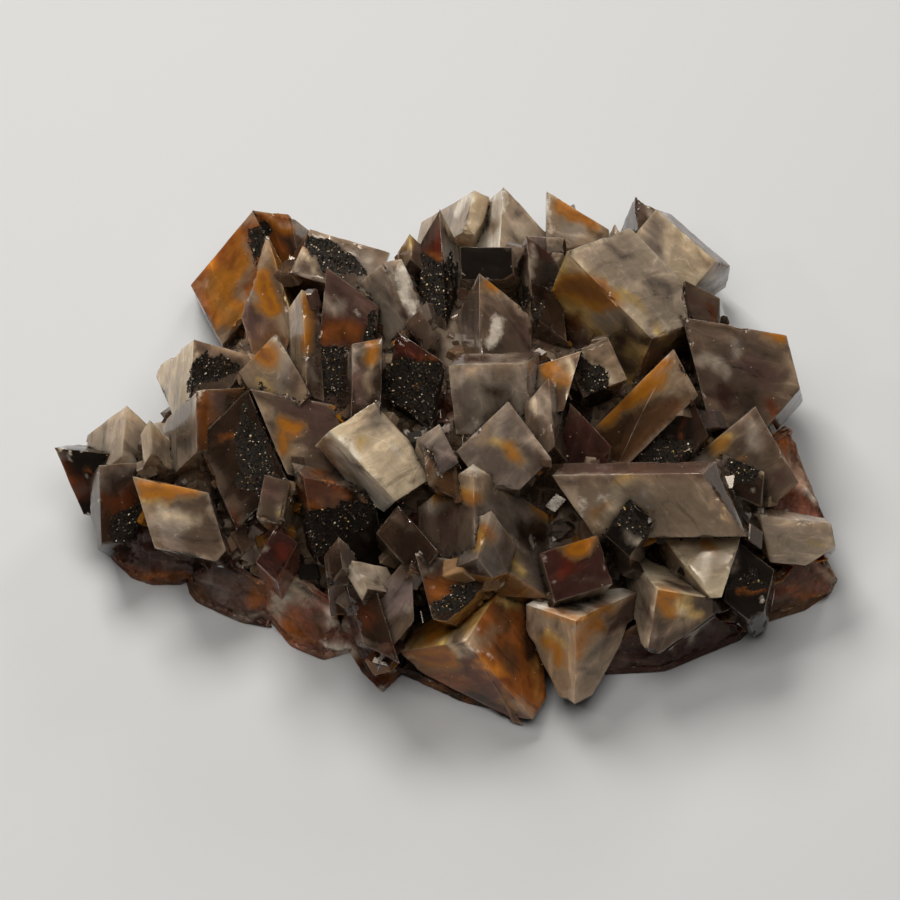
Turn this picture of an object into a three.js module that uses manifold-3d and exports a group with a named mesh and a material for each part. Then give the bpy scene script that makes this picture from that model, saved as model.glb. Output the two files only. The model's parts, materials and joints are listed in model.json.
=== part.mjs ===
// Calcite specimen: blocky rhombohedra of calcite, grown into each other, on a bed of massive calcite.
//
// Millimetres, +Z up. The specimen lies on the flat cut under its bed. The origin is on the table,
// under the middle of the specimen's outline box. +X runs along its length and -Y is its front.

import * as THREE from 'three';
import { ConvexGeometry } from 'three/addons/geometries/ConvexGeometry.js';
import { mergeVertices } from 'three/addons/utils/BufferGeometryUtils.js';
import Module from 'manifold-3d';

const wasm = await Module();
wasm.setup();

// Driving dimensions

const SQUARE = 0.2; // one square of the drawing is this many millimetres
const SHEET_MIDDLE = 450; // the middle of the drawing, in squares across and squares down
const SIGHT_TILT = THREE.MathUtils.degToRad(55); // the drawing looks down on the specimen by this
const CENTRE_X = -0.7; // middle of the outline box, from the middle of the drawing
const CENTRE_Y = -7.015;

const DOME_RIM = 18; // height of the crystals' tips round the rim
const DOME_CROWN = 50; // height of the tips in the middle
const DOME_HALF_LENGTH = 80;
const DOME_HALF_WIDTH = 60;
const DOME_MIDDLE_Y = -4;

const FACE_ANGLE = THREE.MathUtils.degToRad(76); // between two edges at the tip of a steep rhombohedron
const ROOT = 16; // a crystal's body runs on this far under its cap
const AWAY_SHARE = 3; // how strongly a body runs straight away from the viewer
const ROOT_TAPER = 0.86; // the body narrows to this part of its width
const TABLE_CLEARANCE = 1.2; // no crystal comes nearer to the table than this
const SEAM = 0.3; // clear space between the crystals and the bed
const ROUGHNESS = 0.07; // how far a lobe's rings are out of round
const STAGGER = 0.37; // each ring is turned by this part of a side against the one below
const WORK_REACH = 200; // half the side of the slab that clears the table, well past the specimen
const WORK_DEPTH = 60; // how deep that slab goes

// Crystals drawn from the front
//
// The front view is drawn on squared paper along the sight line. A crystal is drawn by its nearest
// corner and by the far ends of the edges that run from it. Rise is how far the corner stands above
// the dome of tips. Where two ends are given, one face looks at the viewer and the third edge runs
// away behind it. Fill is how much of each face is grown: 1 is a whole rhombus, 0 a triangle.
// Ridge marks a crystal whose third edge runs towards the viewer.

const CRYSTALS = {
  orange_shoulder: { corner: [253, 211], rise: 4, ends: [[190, 285], [285, 272]] },
  brown_shoulder: {
    corner: [291, 216], rise: 0, ends: [[251, 209], [315, 233], [302, 276]], fill: 0.6,
  },
  smoky_wedge: {
    corner: [269, 235], rise: 4, ends: [[243, 318], [300, 296], [297, 326]], fill: 0.7, ridge: true,
  },
  spotted_cream: { corner: [281, 336], rise: 6, ends: [[244, 374], [316, 396]], fill: 0.3 },
  pale_strip: { corner: [305, 293], rise: 4, ends: [[290, 312], [322, 300], [311, 396]], ridge: true },
  mauve_tower: { corner: [329, 271], rise: 5, ends: [[381, 309], [317, 398]] },
  cream_ridge: { corner: [392, 256], rise: 0, ends: [[312, 232], [372, 300]] },
  pale_facets: { corner: [384, 266], rise: 4, ends: [[360, 286], [403, 262], [412, 326]], ridge: true },
  brown_knob: { corner: [410, 236], rise: 0, ends: [[397, 254], [427, 252], [411, 262]], ridge: true },
  grey_sliver: { corner: [420, 313], rise: 0, ends: [[405, 327], [441, 341]] },
  dark_tower: { corner: [440, 211], rise: 5, ends: [[418, 250], [458, 243], [447, 332]], ridge: true },
  white_wing: {
    corner: [474, 190], rise: 1, ends: [[420, 218], [490, 197], [464, 232]], fill: 0.6, ridge: true,
  },
  summit: {
    corner: [503, 185], rise: 3, ends: [[466, 222], [548, 234], [499, 250]], ridge: true, fill: 0.6,
  },
  black_window: { corner: [459, 251], rise: 4, ends: [[511, 251], [461, 284]], fill: 0.8 },
  round_grey: {
    corner: [478, 277], rise: 7, ends: [[449, 330], [530, 318], [478, 362]], ridge: true, fill: 0.6,
  },
  brown_prow: { corner: [524, 238], rise: 4, ends: [[509, 269], [557, 262], [532, 320]], ridge: true },
  lavender_knob: { corner: [545, 240], rise: 2, ends: [[525, 238], [564, 241], [546, 257]] },
  orange_flame: { corner: [546, 191], rise: 2, ends: [[610, 229], [545, 238]], fill: 0.3 },
  amber_giant: {
    corner: [563, 256], rise: 8, ends: [[530, 340], [627, 230], [647, 342]], ridge: true, fill: 0.6,
  },
  small_peg: { corner: [614, 222], rise: -2, ends: [[609, 235], [626, 240], [616, 247]], ridge: true },
  dark_horn: { corner: [636, 192], rise: 1, ends: [[621, 232], [690, 226], [640, 244]], ridge: true },
  pale_block: {
    corner: [655, 209], rise: 5, ends: [[627, 243], [672, 213], [716, 262]], ridge: true, fill: 0.9,
  },
  brown_cube: { corner: [681, 282], rise: 2, ends: [[717, 300], [680, 322]] },
  great_slab: { corner: [676, 319], rise: 4, ends: [[781, 337], [703, 425]], fill: 0.5 },
  banded_slope: { corner: [667, 351], rise: 9, ends: [[582, 436], [691, 397]] },
  red_streaked: { corner: [683, 392], rise: 5, ends: [[628, 455], [701, 436]], fill: 0.8 },
  grey_hood: { corner: [747, 407], rise: 9, ends: [[680, 463], [790, 482]], fill: 0.35 },
  black_box: { corner: [714, 453], rise: 10, ends: [[755, 471], [711, 488]] },
  glassy_wedge: { corner: [722, 487], rise: 10, ends: [[696, 507], [752, 499], [731, 519]], fill: 0.8 },
  pink_shard: { corner: [750, 514], rise: 9, ends: [[822, 521], [761, 560], [738, 504]], fill: 0.5 },
  dark_gable: { corner: [728, 537], rise: 8, ends: [[765, 566], [714, 596]], fill: 0.7 },
  window_crystal: { corner: [603, 340], rise: 8, ends: [[560, 358], [622, 382]] },
  orange_edge: { corner: [577, 354], rise: 9, ends: [[521, 372], [560, 412]] },
  plum_face: { corner: [566, 404], rise: 5, ends: [[552, 464], [606, 446]] },
  milky_round: {
    corner: [545, 380], rise: 9, ends: [[521, 405], [563, 402], [551, 446]], fill: 0.8, ridge: true,
  },
  swirled_block: {
    corner: [447, 368], rise: 9, ends: [[460, 356], [455, 436], [524, 366]], ridge: true,
  },
  grey_gable: { corner: [506, 402], rise: 10, ends: [[455, 451], [548, 459]], fill: 0.6 },
  red_shield: { corner: [398, 334], rise: 6, ends: [[387, 400], [443, 364]] },
  mauve_post: { corner: [385, 341], rise: 7, ends: [[355, 347], [384, 416]] },
  cream_block: { corner: [334, 431], rise: 12, ends: [[377, 403], [398, 500], [318, 446]], fill: 0.75 },
  olive_slope: { corner: [256, 390], rise: 5, ends: [[335, 405], [292, 474]] },
  silver_facet: { corner: [440, 424], rise: 9, ends: [[417, 440], [459, 462]] },
  black_pocket: { corner: [423, 446], rise: 8, ends: [[456, 462], [428, 484]] },
  olive_body: { corner: [472, 462], rise: 8, ends: [[418, 503], [546, 512], [474, 545]], ridge: true },
  cream_gable: {
    corner: [546, 474], rise: 10, ends: [[560, 462], [590, 536], [692, 472]], ridge: true,
  },
  cream_triangle: { corner: [737, 519], rise: 11, ends: [[660, 525], [713, 593]], fill: 0.15 },
  black_tooth: { corner: [622, 496], rise: 12, ends: [[598, 531], [647, 519]] },
  garnet_step: { corner: [592, 531], rise: 9, ends: [[536, 549], [607, 579]] },
  grey_fan: {
    corner: [490, 507], rise: 11, ends: [[440, 529], [515, 541], [476, 553]], fill: 0.6, ridge: true,
  },
  amber_pyramid: {
    corner: [465, 634], rise: 8, ends: [[400, 646], [531, 712], [520, 552]], fill: 0.25,
  },
  shield_pyramid: {
    corner: [571, 614], rise: 9, ends: [[523, 599], [632, 588], [571, 697]], fill: 0.3,
  },
  corner_pyramid: {
    corner: [650, 584], rise: 9, ends: [[712, 595], [618, 545], [641, 646]], fill: 0.2,
  },
  brown_hollow: { corner: [416, 549], rise: 7, ends: [[489, 561], [433, 613]], fill: 0.2 },
  grey_blade: { corner: [413, 546], rise: 5, ends: [[380, 587], [416, 614]] },
  root_red: { corner: [380, 586], rise: 6, ends: [[345, 568], [402, 656]] },
  pale_nub: { corner: [355, 555], rise: 8, ends: [[349, 568], [389, 562], [371, 583]], ridge: true },
  glassy_tip: { corner: [343, 532], rise: 9, ends: [[328, 552], [360, 547], [347, 563]], ridge: true },
  dark_steps: { corner: [308, 475], rise: 9, ends: [[377, 490], [322, 562], [296, 461]] },
  mauve_sliver: { corner: [271, 473], rise: 6, ends: [[296, 480], [262, 516]] },
  garnet_wedge: { corner: [283, 521], rise: 7, ends: [[304, 540], [262, 558]] },
  smoke_sliver: { corner: [400, 502], rise: 7, ends: [[378, 530], [440, 548]], fill: 0.8 },
  left_tip: {
    corner: [60, 447], rise: 3, ends: [[88, 514], [80, 443], [142, 456]], ridge: true, fill: 0.7,
  },
  grey_pillar: {
    corner: [107, 464], rise: 5, ends: [[165, 459], [95, 478], [109, 542]], fill: 0.4, ridge: true,
  },
  orange_tile: { corner: [141, 475], rise: 8, ends: [[215, 491], [163, 546]], fill: 0.8 },
  ragged_cream: {
    corner: [133, 405], rise: 0, ends: [[92, 434], [175, 444], [129, 456]], fill: 0.7, ridge: true,
  },
  cream_peg: { corner: [157, 419], rise: 2, ends: [[147, 434], [179, 443], [160, 452]], ridge: true },
  framed_cream: {
    corner: [200, 341], rise: 5, ends: [[159, 368], [252, 356], [194, 440]], fill: 0.1, ridge: true,
  },
  rust_window: { corner: [203, 391], rise: 6, ends: [[165, 424], [252, 388], [204, 452]], ridge: true },
  black_slope: { corner: [254, 390], rise: 3, ends: [[203, 440], [293, 479]] },
};

// Crystals on the back and the ends, placed by their tips. Aim is the way the tip points, as a
// bearing from +X and a height above level, and spin turns the crystal on its own long axis.

const BACK_CRYSTALS = {
  back_amber: { tip: [-40, 45, 15], aim: [115, 25], spin: 10, edge: 19 },
  back_cream: { tip: [-27, 42, 14], aim: [100, 15], spin: 50, edge: 17 },
  back_notch: { tip: [-13, 39, 12], aim: [85, 25], spin: 95, edge: 16 },
  back_grey: { tip: [0, 46, 18], aim: [95, 30], spin: 30, edge: 18 },
  back_middle: { tip: [13, 50, 15], aim: [80, 15], spin: 70, edge: 20 },
  back_smoky: { tip: [25, 47, 16], aim: [70, 25], spin: 0, edge: 17 },
  back_block: { tip: [37, 45, 14], aim: [85, 20], spin: 40, edge: 19 },
  back_corner: { tip: [47, 41, 14], aim: [55, 20], spin: 85, edge: 17 },
  right_high: { tip: [53, 25, 12], aim: [35, 20], spin: 15, edge: 16 },
  right_low: { tip: [66, 14, 12], aim: [15, 20], spin: 60, edge: 17 },
  right_end: { tip: [69, -5, 9], aim: [-5, 15], spin: 20, edge: 14 },
  left_high: { tip: [-51, 14, 12], aim: [130, 20], spin: 75, edge: 17 },
  left_low: { tip: [-61, 0, 9], aim: [150, 15], spin: 35, edge: 14 },
  left_end: { tip: [-69, -7, 9], aim: [165, 20], spin: 100, edge: 13 },
};

// Two rough masses: the crust of small crystals that the tall ones stand in, and the bed of
// massive calcite below it. Each lobe is the hull of rings of points round a middle, at the
// heights given.

const CRUST_LOBES = [
  {
    middle: [0, -8], heights: [6, 20, 31, 36], halfLength: [64, 51, 30, 14], halfWidth: [41, 36, 22, 11],
    sides: 12,
  },
];
const BED_LOBES = [
  { middle: [-38, -12], heights: [0, 6, 12], halfLength: [26, 27, 16], halfWidth: [16, 17, 10], sides: 9 },
  { middle: [0, -12], heights: [0, 8, 20], halfLength: [38, 39, 24], halfWidth: [36, 37, 20], sides: 10 },
  { middle: [38, -18], heights: [0, 7, 14], halfLength: [27, 28, 18], halfWidth: [26, 27, 13], sides: 9 },
];

// Blocks of the bed that stand out under the crystals at the front. Each corner is given by its
// place in the drawing and its height above the table.

const BED_BLOCKS = {
  purple_rim: [
    [93, 515, 7], [100, 540, 4], [117, 560, 2], [136, 577, 1.5], [155, 583, 1.5], [185, 583, 1.5],
    [110, 498, 13], [150, 520, 15], [215, 528, 15], [238, 555, 9],
  ],
  grey_glass: [
    [193, 592, 1], [200, 600, 1], [215, 607, 1], [245, 620, 1], [275, 625, 1],
    [188, 575, 4], [205, 562, 9], [262, 577, 11], [235, 553, 14],
  ],
  pink_cleavage: [
    [262, 577, 13], [302, 569, 16], [338, 596, 14], [352, 648, 2], [326, 656, 1], [294, 643, 1],
    [267, 612, 4],
  ],
  garnet_foot: [
    [340, 585, 15], [372, 600, 14], [405, 668, 3], [384, 687, 1], [364, 668, 1.5], [346, 640, 3],
  ],
  amber_foot: [
    [400, 668, 3], [420, 677, 1.5], [440, 686, 1.5], [462, 696, 1.5], [500, 705, 1.5], [530, 712, 1.5],
    [410, 640, 7], [520, 650, 7],
  ],
  pyramid_foot: [
    [596, 670, 2], [640, 665, 1.5], [660, 667, 1], [673, 660, 1.5], [684, 650, 2], [688, 643, 2],
    [735, 637, 2], [748, 624, 3], [585, 650, 8], [640, 610, 14], [700, 605, 15],
  ],
  rusty_corner: [
    [762, 580, 12], [783, 560, 15], [820, 552, 15], [833, 578, 7], [826, 591, 4], [800, 608, 2],
    [757, 621, 1.5], [735, 615, 5],
  ],
  rusty_side: [
    [786, 425, 22], [793, 440, 20], [799, 465, 18], [805, 485, 16], [812, 500, 14], [823, 522, 12],
    [765, 440, 24], [755, 510, 20], [815, 560, 10], [745, 570, 14],
  ],
};

// Maths of the drawing

const RIGHT = new THREE.Vector3(1, 0, 0);
const UPWARD = new THREE.Vector3(0, Math.sin(SIGHT_TILT), Math.cos(SIGHT_TILT));
const NEARER = new THREE.Vector3(0, -Math.cos(SIGHT_TILT), Math.sin(SIGHT_TILT));

function pointAtHeight(across, down, height) {
  const x = (across - SHEET_MIDDLE) * SQUARE;
  const seen = (SHEET_MIDDLE - down) * SQUARE;
  const y = (seen - height * Math.cos(SIGHT_TILT)) / Math.sin(SIGHT_TILT);
  return new THREE.Vector3(x, y, height);
}

function domeHeight(x, y) {
  const reach = (x / DOME_HALF_LENGTH) ** 2 + ((y - DOME_MIDDLE_Y) / DOME_HALF_WIDTH) ** 2;
  return DOME_RIM + (DOME_CROWN - DOME_RIM) * Math.max(0, 1 - reach);
}

const DOME_PASSES = 40; // enough for a height on the dome to settle

function pointOnDome(across, down, rise) {
  let height = DOME_RIM;
  for (let pass = 0; pass < DOME_PASSES; pass++) {
    const point = pointAtHeight(across, down, height);
    height = (height + domeHeight(point.x, point.y) + rise) / 2;
  }
  return pointAtHeight(across, down, height);
}

// Tilts of an edge out of the drawing, in radians, positive towards the viewer: first guesses for a
// tip that faces the viewer and for one with a ridge, the tilts of a face seen square on, and limits.
const FACING_START = [-0.75, -0.75, -0.75];
const RIDGE_START = [-0.35, -0.35, 0.75];
const FACE_ON_TILTS = [-0.35, 0.05];
const STEEPEST_AWAY = -1.15;
const STEEPEST_NEARER = 0.12;
const TILT_PASSES = 400;
const TILT_STEP = 0.5;

// A rhombohedron's edges all meet at the same angle at its tip, so the three drawn directions
// settle how far each edge leans out of the drawing. Small steps bring the angles together.
function edgeTilts(bearings, start) {
  const tilts = [...start];
  const wanted = Math.cos(FACE_ANGLE);
  for (let pass = 0; pass < TILT_PASSES; pass++) {
    const change = [0, 0, 0];
    for (const [i, j] of [[0, 1], [1, 2], [2, 0]]) {
      const spread = Math.cos(bearings[i] - bearings[j]);
      const [a, b] = [tilts[i], tilts[j]];
      const miss = Math.cos(a) * Math.cos(b) * spread + Math.sin(a) * Math.sin(b) - wanted;
      change[i] += miss * (Math.cos(a) * Math.sin(b) - Math.sin(a) * Math.cos(b) * spread);
      change[j] += miss * (Math.sin(a) * Math.cos(b) - Math.cos(a) * Math.sin(b) * spread);
    }
    for (let k = 0; k < 3; k++) {
      const tilt = tilts[k] - TILT_STEP * change[k];
      tilts[k] = THREE.MathUtils.clamp(tilt, STEEPEST_AWAY, STEEPEST_NEARER);
    }
  }
  return tilts;
}

function drawnEdges({ corner, ends, ridge }) {
  const drawn = ends.map(([across, down]) => [(across - corner[0]) * SQUARE, (corner[1] - down) * SQUARE]);
  const bearings = drawn.map(([x, y]) => Math.atan2(y, x));
  let tilts = FACE_ON_TILTS;
  if (ends.length === 3) tilts = edgeTilts(bearings, ridge === undefined ? FACING_START : RIDGE_START);
  const edges = drawn.map(([x, y], k) => (
    new THREE.Vector3()
      .addScaledVector(RIGHT, x)
      .addScaledVector(UPWARD, y)
      .addScaledVector(NEARER, Math.tan(tilts[k]) * Math.hypot(x, y))
  ));
  if (ends.length === 2) edges.push(NEARER.clone().multiplyScalar(-ROOT));
  return edges;
}

function aimedEdges({ aim, spin, edge }) {
  const [bearing, elevation] = aim.map(THREE.MathUtils.degToRad);
  const axis = new THREE.Vector3(
    Math.cos(elevation) * Math.cos(bearing),
    Math.cos(elevation) * Math.sin(bearing),
    Math.sin(elevation),
  );
  const lean = Math.asin(Math.sqrt((2 / 3) * (1 - Math.cos(FACE_ANGLE)))); // from the axis to an edge
  const turn = new THREE.Quaternion().setFromUnitVectors(new THREE.Vector3(0, 0, 1), axis);
  return [0, 120, 240].map((third) => {
    const around = THREE.MathUtils.degToRad(third + spin);
    const edgeWay = new THREE.Vector3(
      Math.sin(lean) * Math.cos(around),
      Math.sin(lean) * Math.sin(around),
      -Math.cos(lean),
    );
    return edgeWay.applyQuaternion(turn).multiplyScalar(edge);
  });
}

// Solids

function hullSolid(points) {
  const geometry = new ConvexGeometry(points);
  geometry.deleteAttribute('normal');
  const merged = mergeVertices(geometry, 1e-4);
  return new wasm.Manifold(new wasm.Mesh({
    numProp: 3,
    vertProperties: new Float32Array(merged.attributes.position.array),
    triVerts: new Uint32Array(merged.index.array),
  }));
}

// A crystal is a rhombohedral cap with its three faces, on a body that runs on into the bed.
function crystalSolid(tip, edges, fill = 1, away = AWAY_SHARE) {
  const rim = [];
  for (const [i, j] of [[0, 1], [1, 2], [2, 0]]) {
    rim.push(tip.clone().add(edges[i]));
    rim.push(tip.clone().add(edges[i]).addScaledVector(edges[j], fill));
    rim.push(tip.clone().add(edges[j]).addScaledVector(edges[i], fill));
  }
  const inward = NEARER.clone().multiplyScalar(-away);
  for (const edge of edges) inward.add(edge.clone().normalize());
  inward.normalize();
  const roots = rim.map((point) => {
    const along = point.clone().sub(tip).dot(inward);
    const onAxis = tip.clone().addScaledVector(inward, along);
    const narrowed = point.clone().sub(onAxis).multiplyScalar(ROOT_TAPER).add(onAxis);
    return narrowed.addScaledVector(inward, ROOT);
  });
  return hullSolid([tip, ...rim, ...roots]);
}

function lobePoints({ middle, heights, halfLength, halfWidth, sides }) {
  const points = [];
  heights.forEach((height, level) => {
    for (let side = 0; side < sides; side++) {
      const around = ((side + STAGGER * level) / sides) * 2 * Math.PI;
      const rough = 1 + ROUGHNESS * Math.sin(5 * side + 3 * level + middle[0]);
      points.push(new THREE.Vector3(
        middle[0] + halfLength[level] * rough * Math.cos(around),
        middle[1] + halfWidth[level] * rough * Math.sin(around),
        height,
      ));
    }
  });
  return points;
}

// A block's corners, and where the sight line through each one meets the table behind it.
function blockPoints(corners) {
  return corners.flatMap(([across, down, height]) => {
    const corner = pointAtHeight(across, down, height);
    return [corner, corner.clone().addScaledVector(NEARER, -height / NEARER.z)];
  });
}

// The same points, moved outward by a distance along every axis.
function grownPoints(points, grow) {
  if (grow === 0) return points;
  return points.flatMap((point) => (
    [[grow, 0, 0], [-grow, 0, 0], [0, grow, 0], [0, -grow, 0], [0, 0, grow], [0, 0, -grow]]
      .map((step) => point.clone().add(new THREE.Vector3(...step)))
  ));
}

function largestPiece(solid) {
  const pieces = solid.decompose();
  return pieces.reduce((best, piece) => (piece.volume() > best.volume() ? piece : best));
}

function bedSolid(grow) {
  const masses = [...BED_LOBES.map(lobePoints), ...Object.values(BED_BLOCKS).map(blockPoints)];
  return masses
    .map((points) => hullSolid(grownPoints(points, grow)))
    .reduce((whole, mass) => whole.add(mass));
}

// What the crystals keep clear of: the table, and a little more.
function tableSlab() {
  const corners = [];
  for (const x of [-WORK_REACH, WORK_REACH]) {
    for (const y of [-WORK_REACH, WORK_REACH]) {
      for (const z of [-WORK_DEPTH, TABLE_CLEARANCE]) corners.push(new THREE.Vector3(x, y, z));
    }
  }
  return hullSolid(corners);
}

function crystalsSolid() {
  const drawn = Object.values(CRYSTALS).map((crystal) => (
    crystalSolid(pointOnDome(...crystal.corner, crystal.rise), drawnEdges(crystal), crystal.fill)
  ));
  const behind = Object.values(BACK_CRYSTALS).map((crystal) => (
    crystalSolid(new THREE.Vector3(...crystal.tip), aimedEdges(crystal), 1, 0)
  ));
  const crust = CRUST_LOBES.map((lobe) => hullSolid(lobePoints(lobe)));
  const grown = [...drawn, ...behind, ...crust].reduce((whole, crystal) => whole.add(crystal));
  const clearance = SEAM * Math.sqrt(3); // along each axis, so that slanting faces clear each other too
  return largestPiece(grown.subtract(bedSolid(clearance)).subtract(tableSlab()));
}

function meshFromSolid(name, solid, material) {
  const { vertProperties, triVerts } = solid.getMesh();
  const geometry = new THREE.BufferGeometry();
  geometry.setAttribute('position', new THREE.BufferAttribute(vertProperties, 3));
  geometry.setIndex(new THREE.BufferAttribute(triVerts, 1));
  const mesh = new THREE.Mesh(geometry, material);
  mesh.name = name;
  return mesh;
}

const calcite = new THREE.MeshStandardMaterial({ color: 0xb3a392, roughness: 0.22, metalness: 0 });
const redCalcite = new THREE.MeshStandardMaterial({ color: 0x6b3a2a, roughness: 0.5, metalness: 0 });

const specimen = new THREE.Group();
specimen.position.set(-CENTRE_X, -CENTRE_Y, 0);
specimen.add(meshFromSolid('crystals', crystalsSolid(), calcite));
specimen.add(meshFromSolid('matrix', bedSolid(0), redCalcite));

export default specimen;
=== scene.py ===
# %% [markdown]
# # A calcite specimen
#
# The real thing is a hand-sized crust of calcite crystals. Some seventy blocky rhombohedra grew into
# each other on a bed of red-brown massive calcite. Each crystal is part clear, part milky, with
# orange phantoms inside, and many faces wear a coat of fine, dark, glittering druse.
#
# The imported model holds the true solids, so this lesson dresses them. It finds out which crystal
# each face belongs to, cuts the faces fine enough to carry growth relief, stains and phantoms, and
# then grows the druse that is too small for the solids.

import json
import math

import bmesh
import bpy
import numpy as np
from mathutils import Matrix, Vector, noise
from mathutils.bvhtree import BVHTree

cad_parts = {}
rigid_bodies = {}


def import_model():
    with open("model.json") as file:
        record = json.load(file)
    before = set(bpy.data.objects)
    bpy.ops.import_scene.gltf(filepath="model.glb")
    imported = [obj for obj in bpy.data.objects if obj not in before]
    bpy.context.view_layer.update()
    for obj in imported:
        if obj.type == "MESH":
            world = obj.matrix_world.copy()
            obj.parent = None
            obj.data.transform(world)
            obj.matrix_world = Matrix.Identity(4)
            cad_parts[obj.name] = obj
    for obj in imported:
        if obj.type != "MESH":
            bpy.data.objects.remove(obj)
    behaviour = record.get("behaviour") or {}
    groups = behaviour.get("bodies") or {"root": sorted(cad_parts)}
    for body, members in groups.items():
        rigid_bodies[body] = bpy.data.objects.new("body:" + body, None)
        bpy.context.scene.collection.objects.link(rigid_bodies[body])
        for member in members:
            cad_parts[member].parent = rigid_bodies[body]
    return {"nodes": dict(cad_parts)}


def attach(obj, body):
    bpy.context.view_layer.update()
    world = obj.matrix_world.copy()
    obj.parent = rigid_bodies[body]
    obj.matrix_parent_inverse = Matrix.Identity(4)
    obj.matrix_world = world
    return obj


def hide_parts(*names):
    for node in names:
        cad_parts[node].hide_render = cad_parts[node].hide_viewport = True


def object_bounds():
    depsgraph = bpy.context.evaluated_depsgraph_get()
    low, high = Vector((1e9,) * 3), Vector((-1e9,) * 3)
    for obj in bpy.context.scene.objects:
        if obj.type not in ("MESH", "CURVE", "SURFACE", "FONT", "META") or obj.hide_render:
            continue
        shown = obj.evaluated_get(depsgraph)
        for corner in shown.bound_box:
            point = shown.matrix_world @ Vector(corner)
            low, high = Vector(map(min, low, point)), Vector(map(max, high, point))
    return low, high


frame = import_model()
cad_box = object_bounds()
MM = 0.001
print("nodes:", sorted(frame["nodes"]))

# %% [markdown]
# ## The drawing
#
# The solids were drawn from the front, on squared paper, along a sight line that looks down by 55
# degrees. A crystal's row gives its nearest corner, how far that corner stands above the dome of
# tips, and the far ends of the edges that run from it. The same rows are needed here, because a
# finish belongs to a crystal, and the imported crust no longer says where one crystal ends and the
# next begins. A label map painted by hand would do it too, but it would have to be redone after
# every change of shape.

# %% The sheet and the dome of tips
SQUARE = 0.2  # millimetres
SHEET_MIDDLE = 450
SIGHT_TILT = math.radians(55)
CENTRE = np.array([-0.7, -7.015, 0.0])
DOME_RIM = 18
DOME_CROWN = 50
DOME_HALF_LENGTH = 80
DOME_HALF_WIDTH = 60
DOME_MIDDLE_Y = -4
RIGHT = np.array([1.0, 0.0, 0.0])
UPWARD = np.array([0.0, math.sin(SIGHT_TILT), math.cos(SIGHT_TILT)])
NEARER = np.array([0.0, -math.cos(SIGHT_TILT), math.sin(SIGHT_TILT)])


def point_at_height(across, down, height):
    """Where the sight line through a square of the drawing is at that height."""
    seen = (SHEET_MIDDLE - down) * SQUARE
    back = (seen - height * math.cos(SIGHT_TILT)) / math.sin(SIGHT_TILT)
    return np.array([(across - SHEET_MIDDLE) * SQUARE, back, height])


def dome_height(x, y):
    reach = (x / DOME_HALF_LENGTH) ** 2 + ((y - DOME_MIDDLE_Y) / DOME_HALF_WIDTH) ** 2
    return DOME_RIM + (DOME_CROWN - DOME_RIM) * np.maximum(0, 1 - reach)


def point_on_dome(across, down, rise):
    height = DOME_RIM
    for _ in range(40):
        x, y, _z = point_at_height(across, down, height)
        height = (height + dome_height(x, y) + rise) / 2
    return point_at_height(across, down, height)


def squares(points):
    """The places on the drawing, in squares, of points in millimetres in the row frame."""
    drawn = points + CENTRE
    return np.stack([SHEET_MIDDLE + drawn @ RIGHT / SQUARE, SHEET_MIDDLE - drawn @ UPWARD / SQUARE], axis=1)


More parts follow.
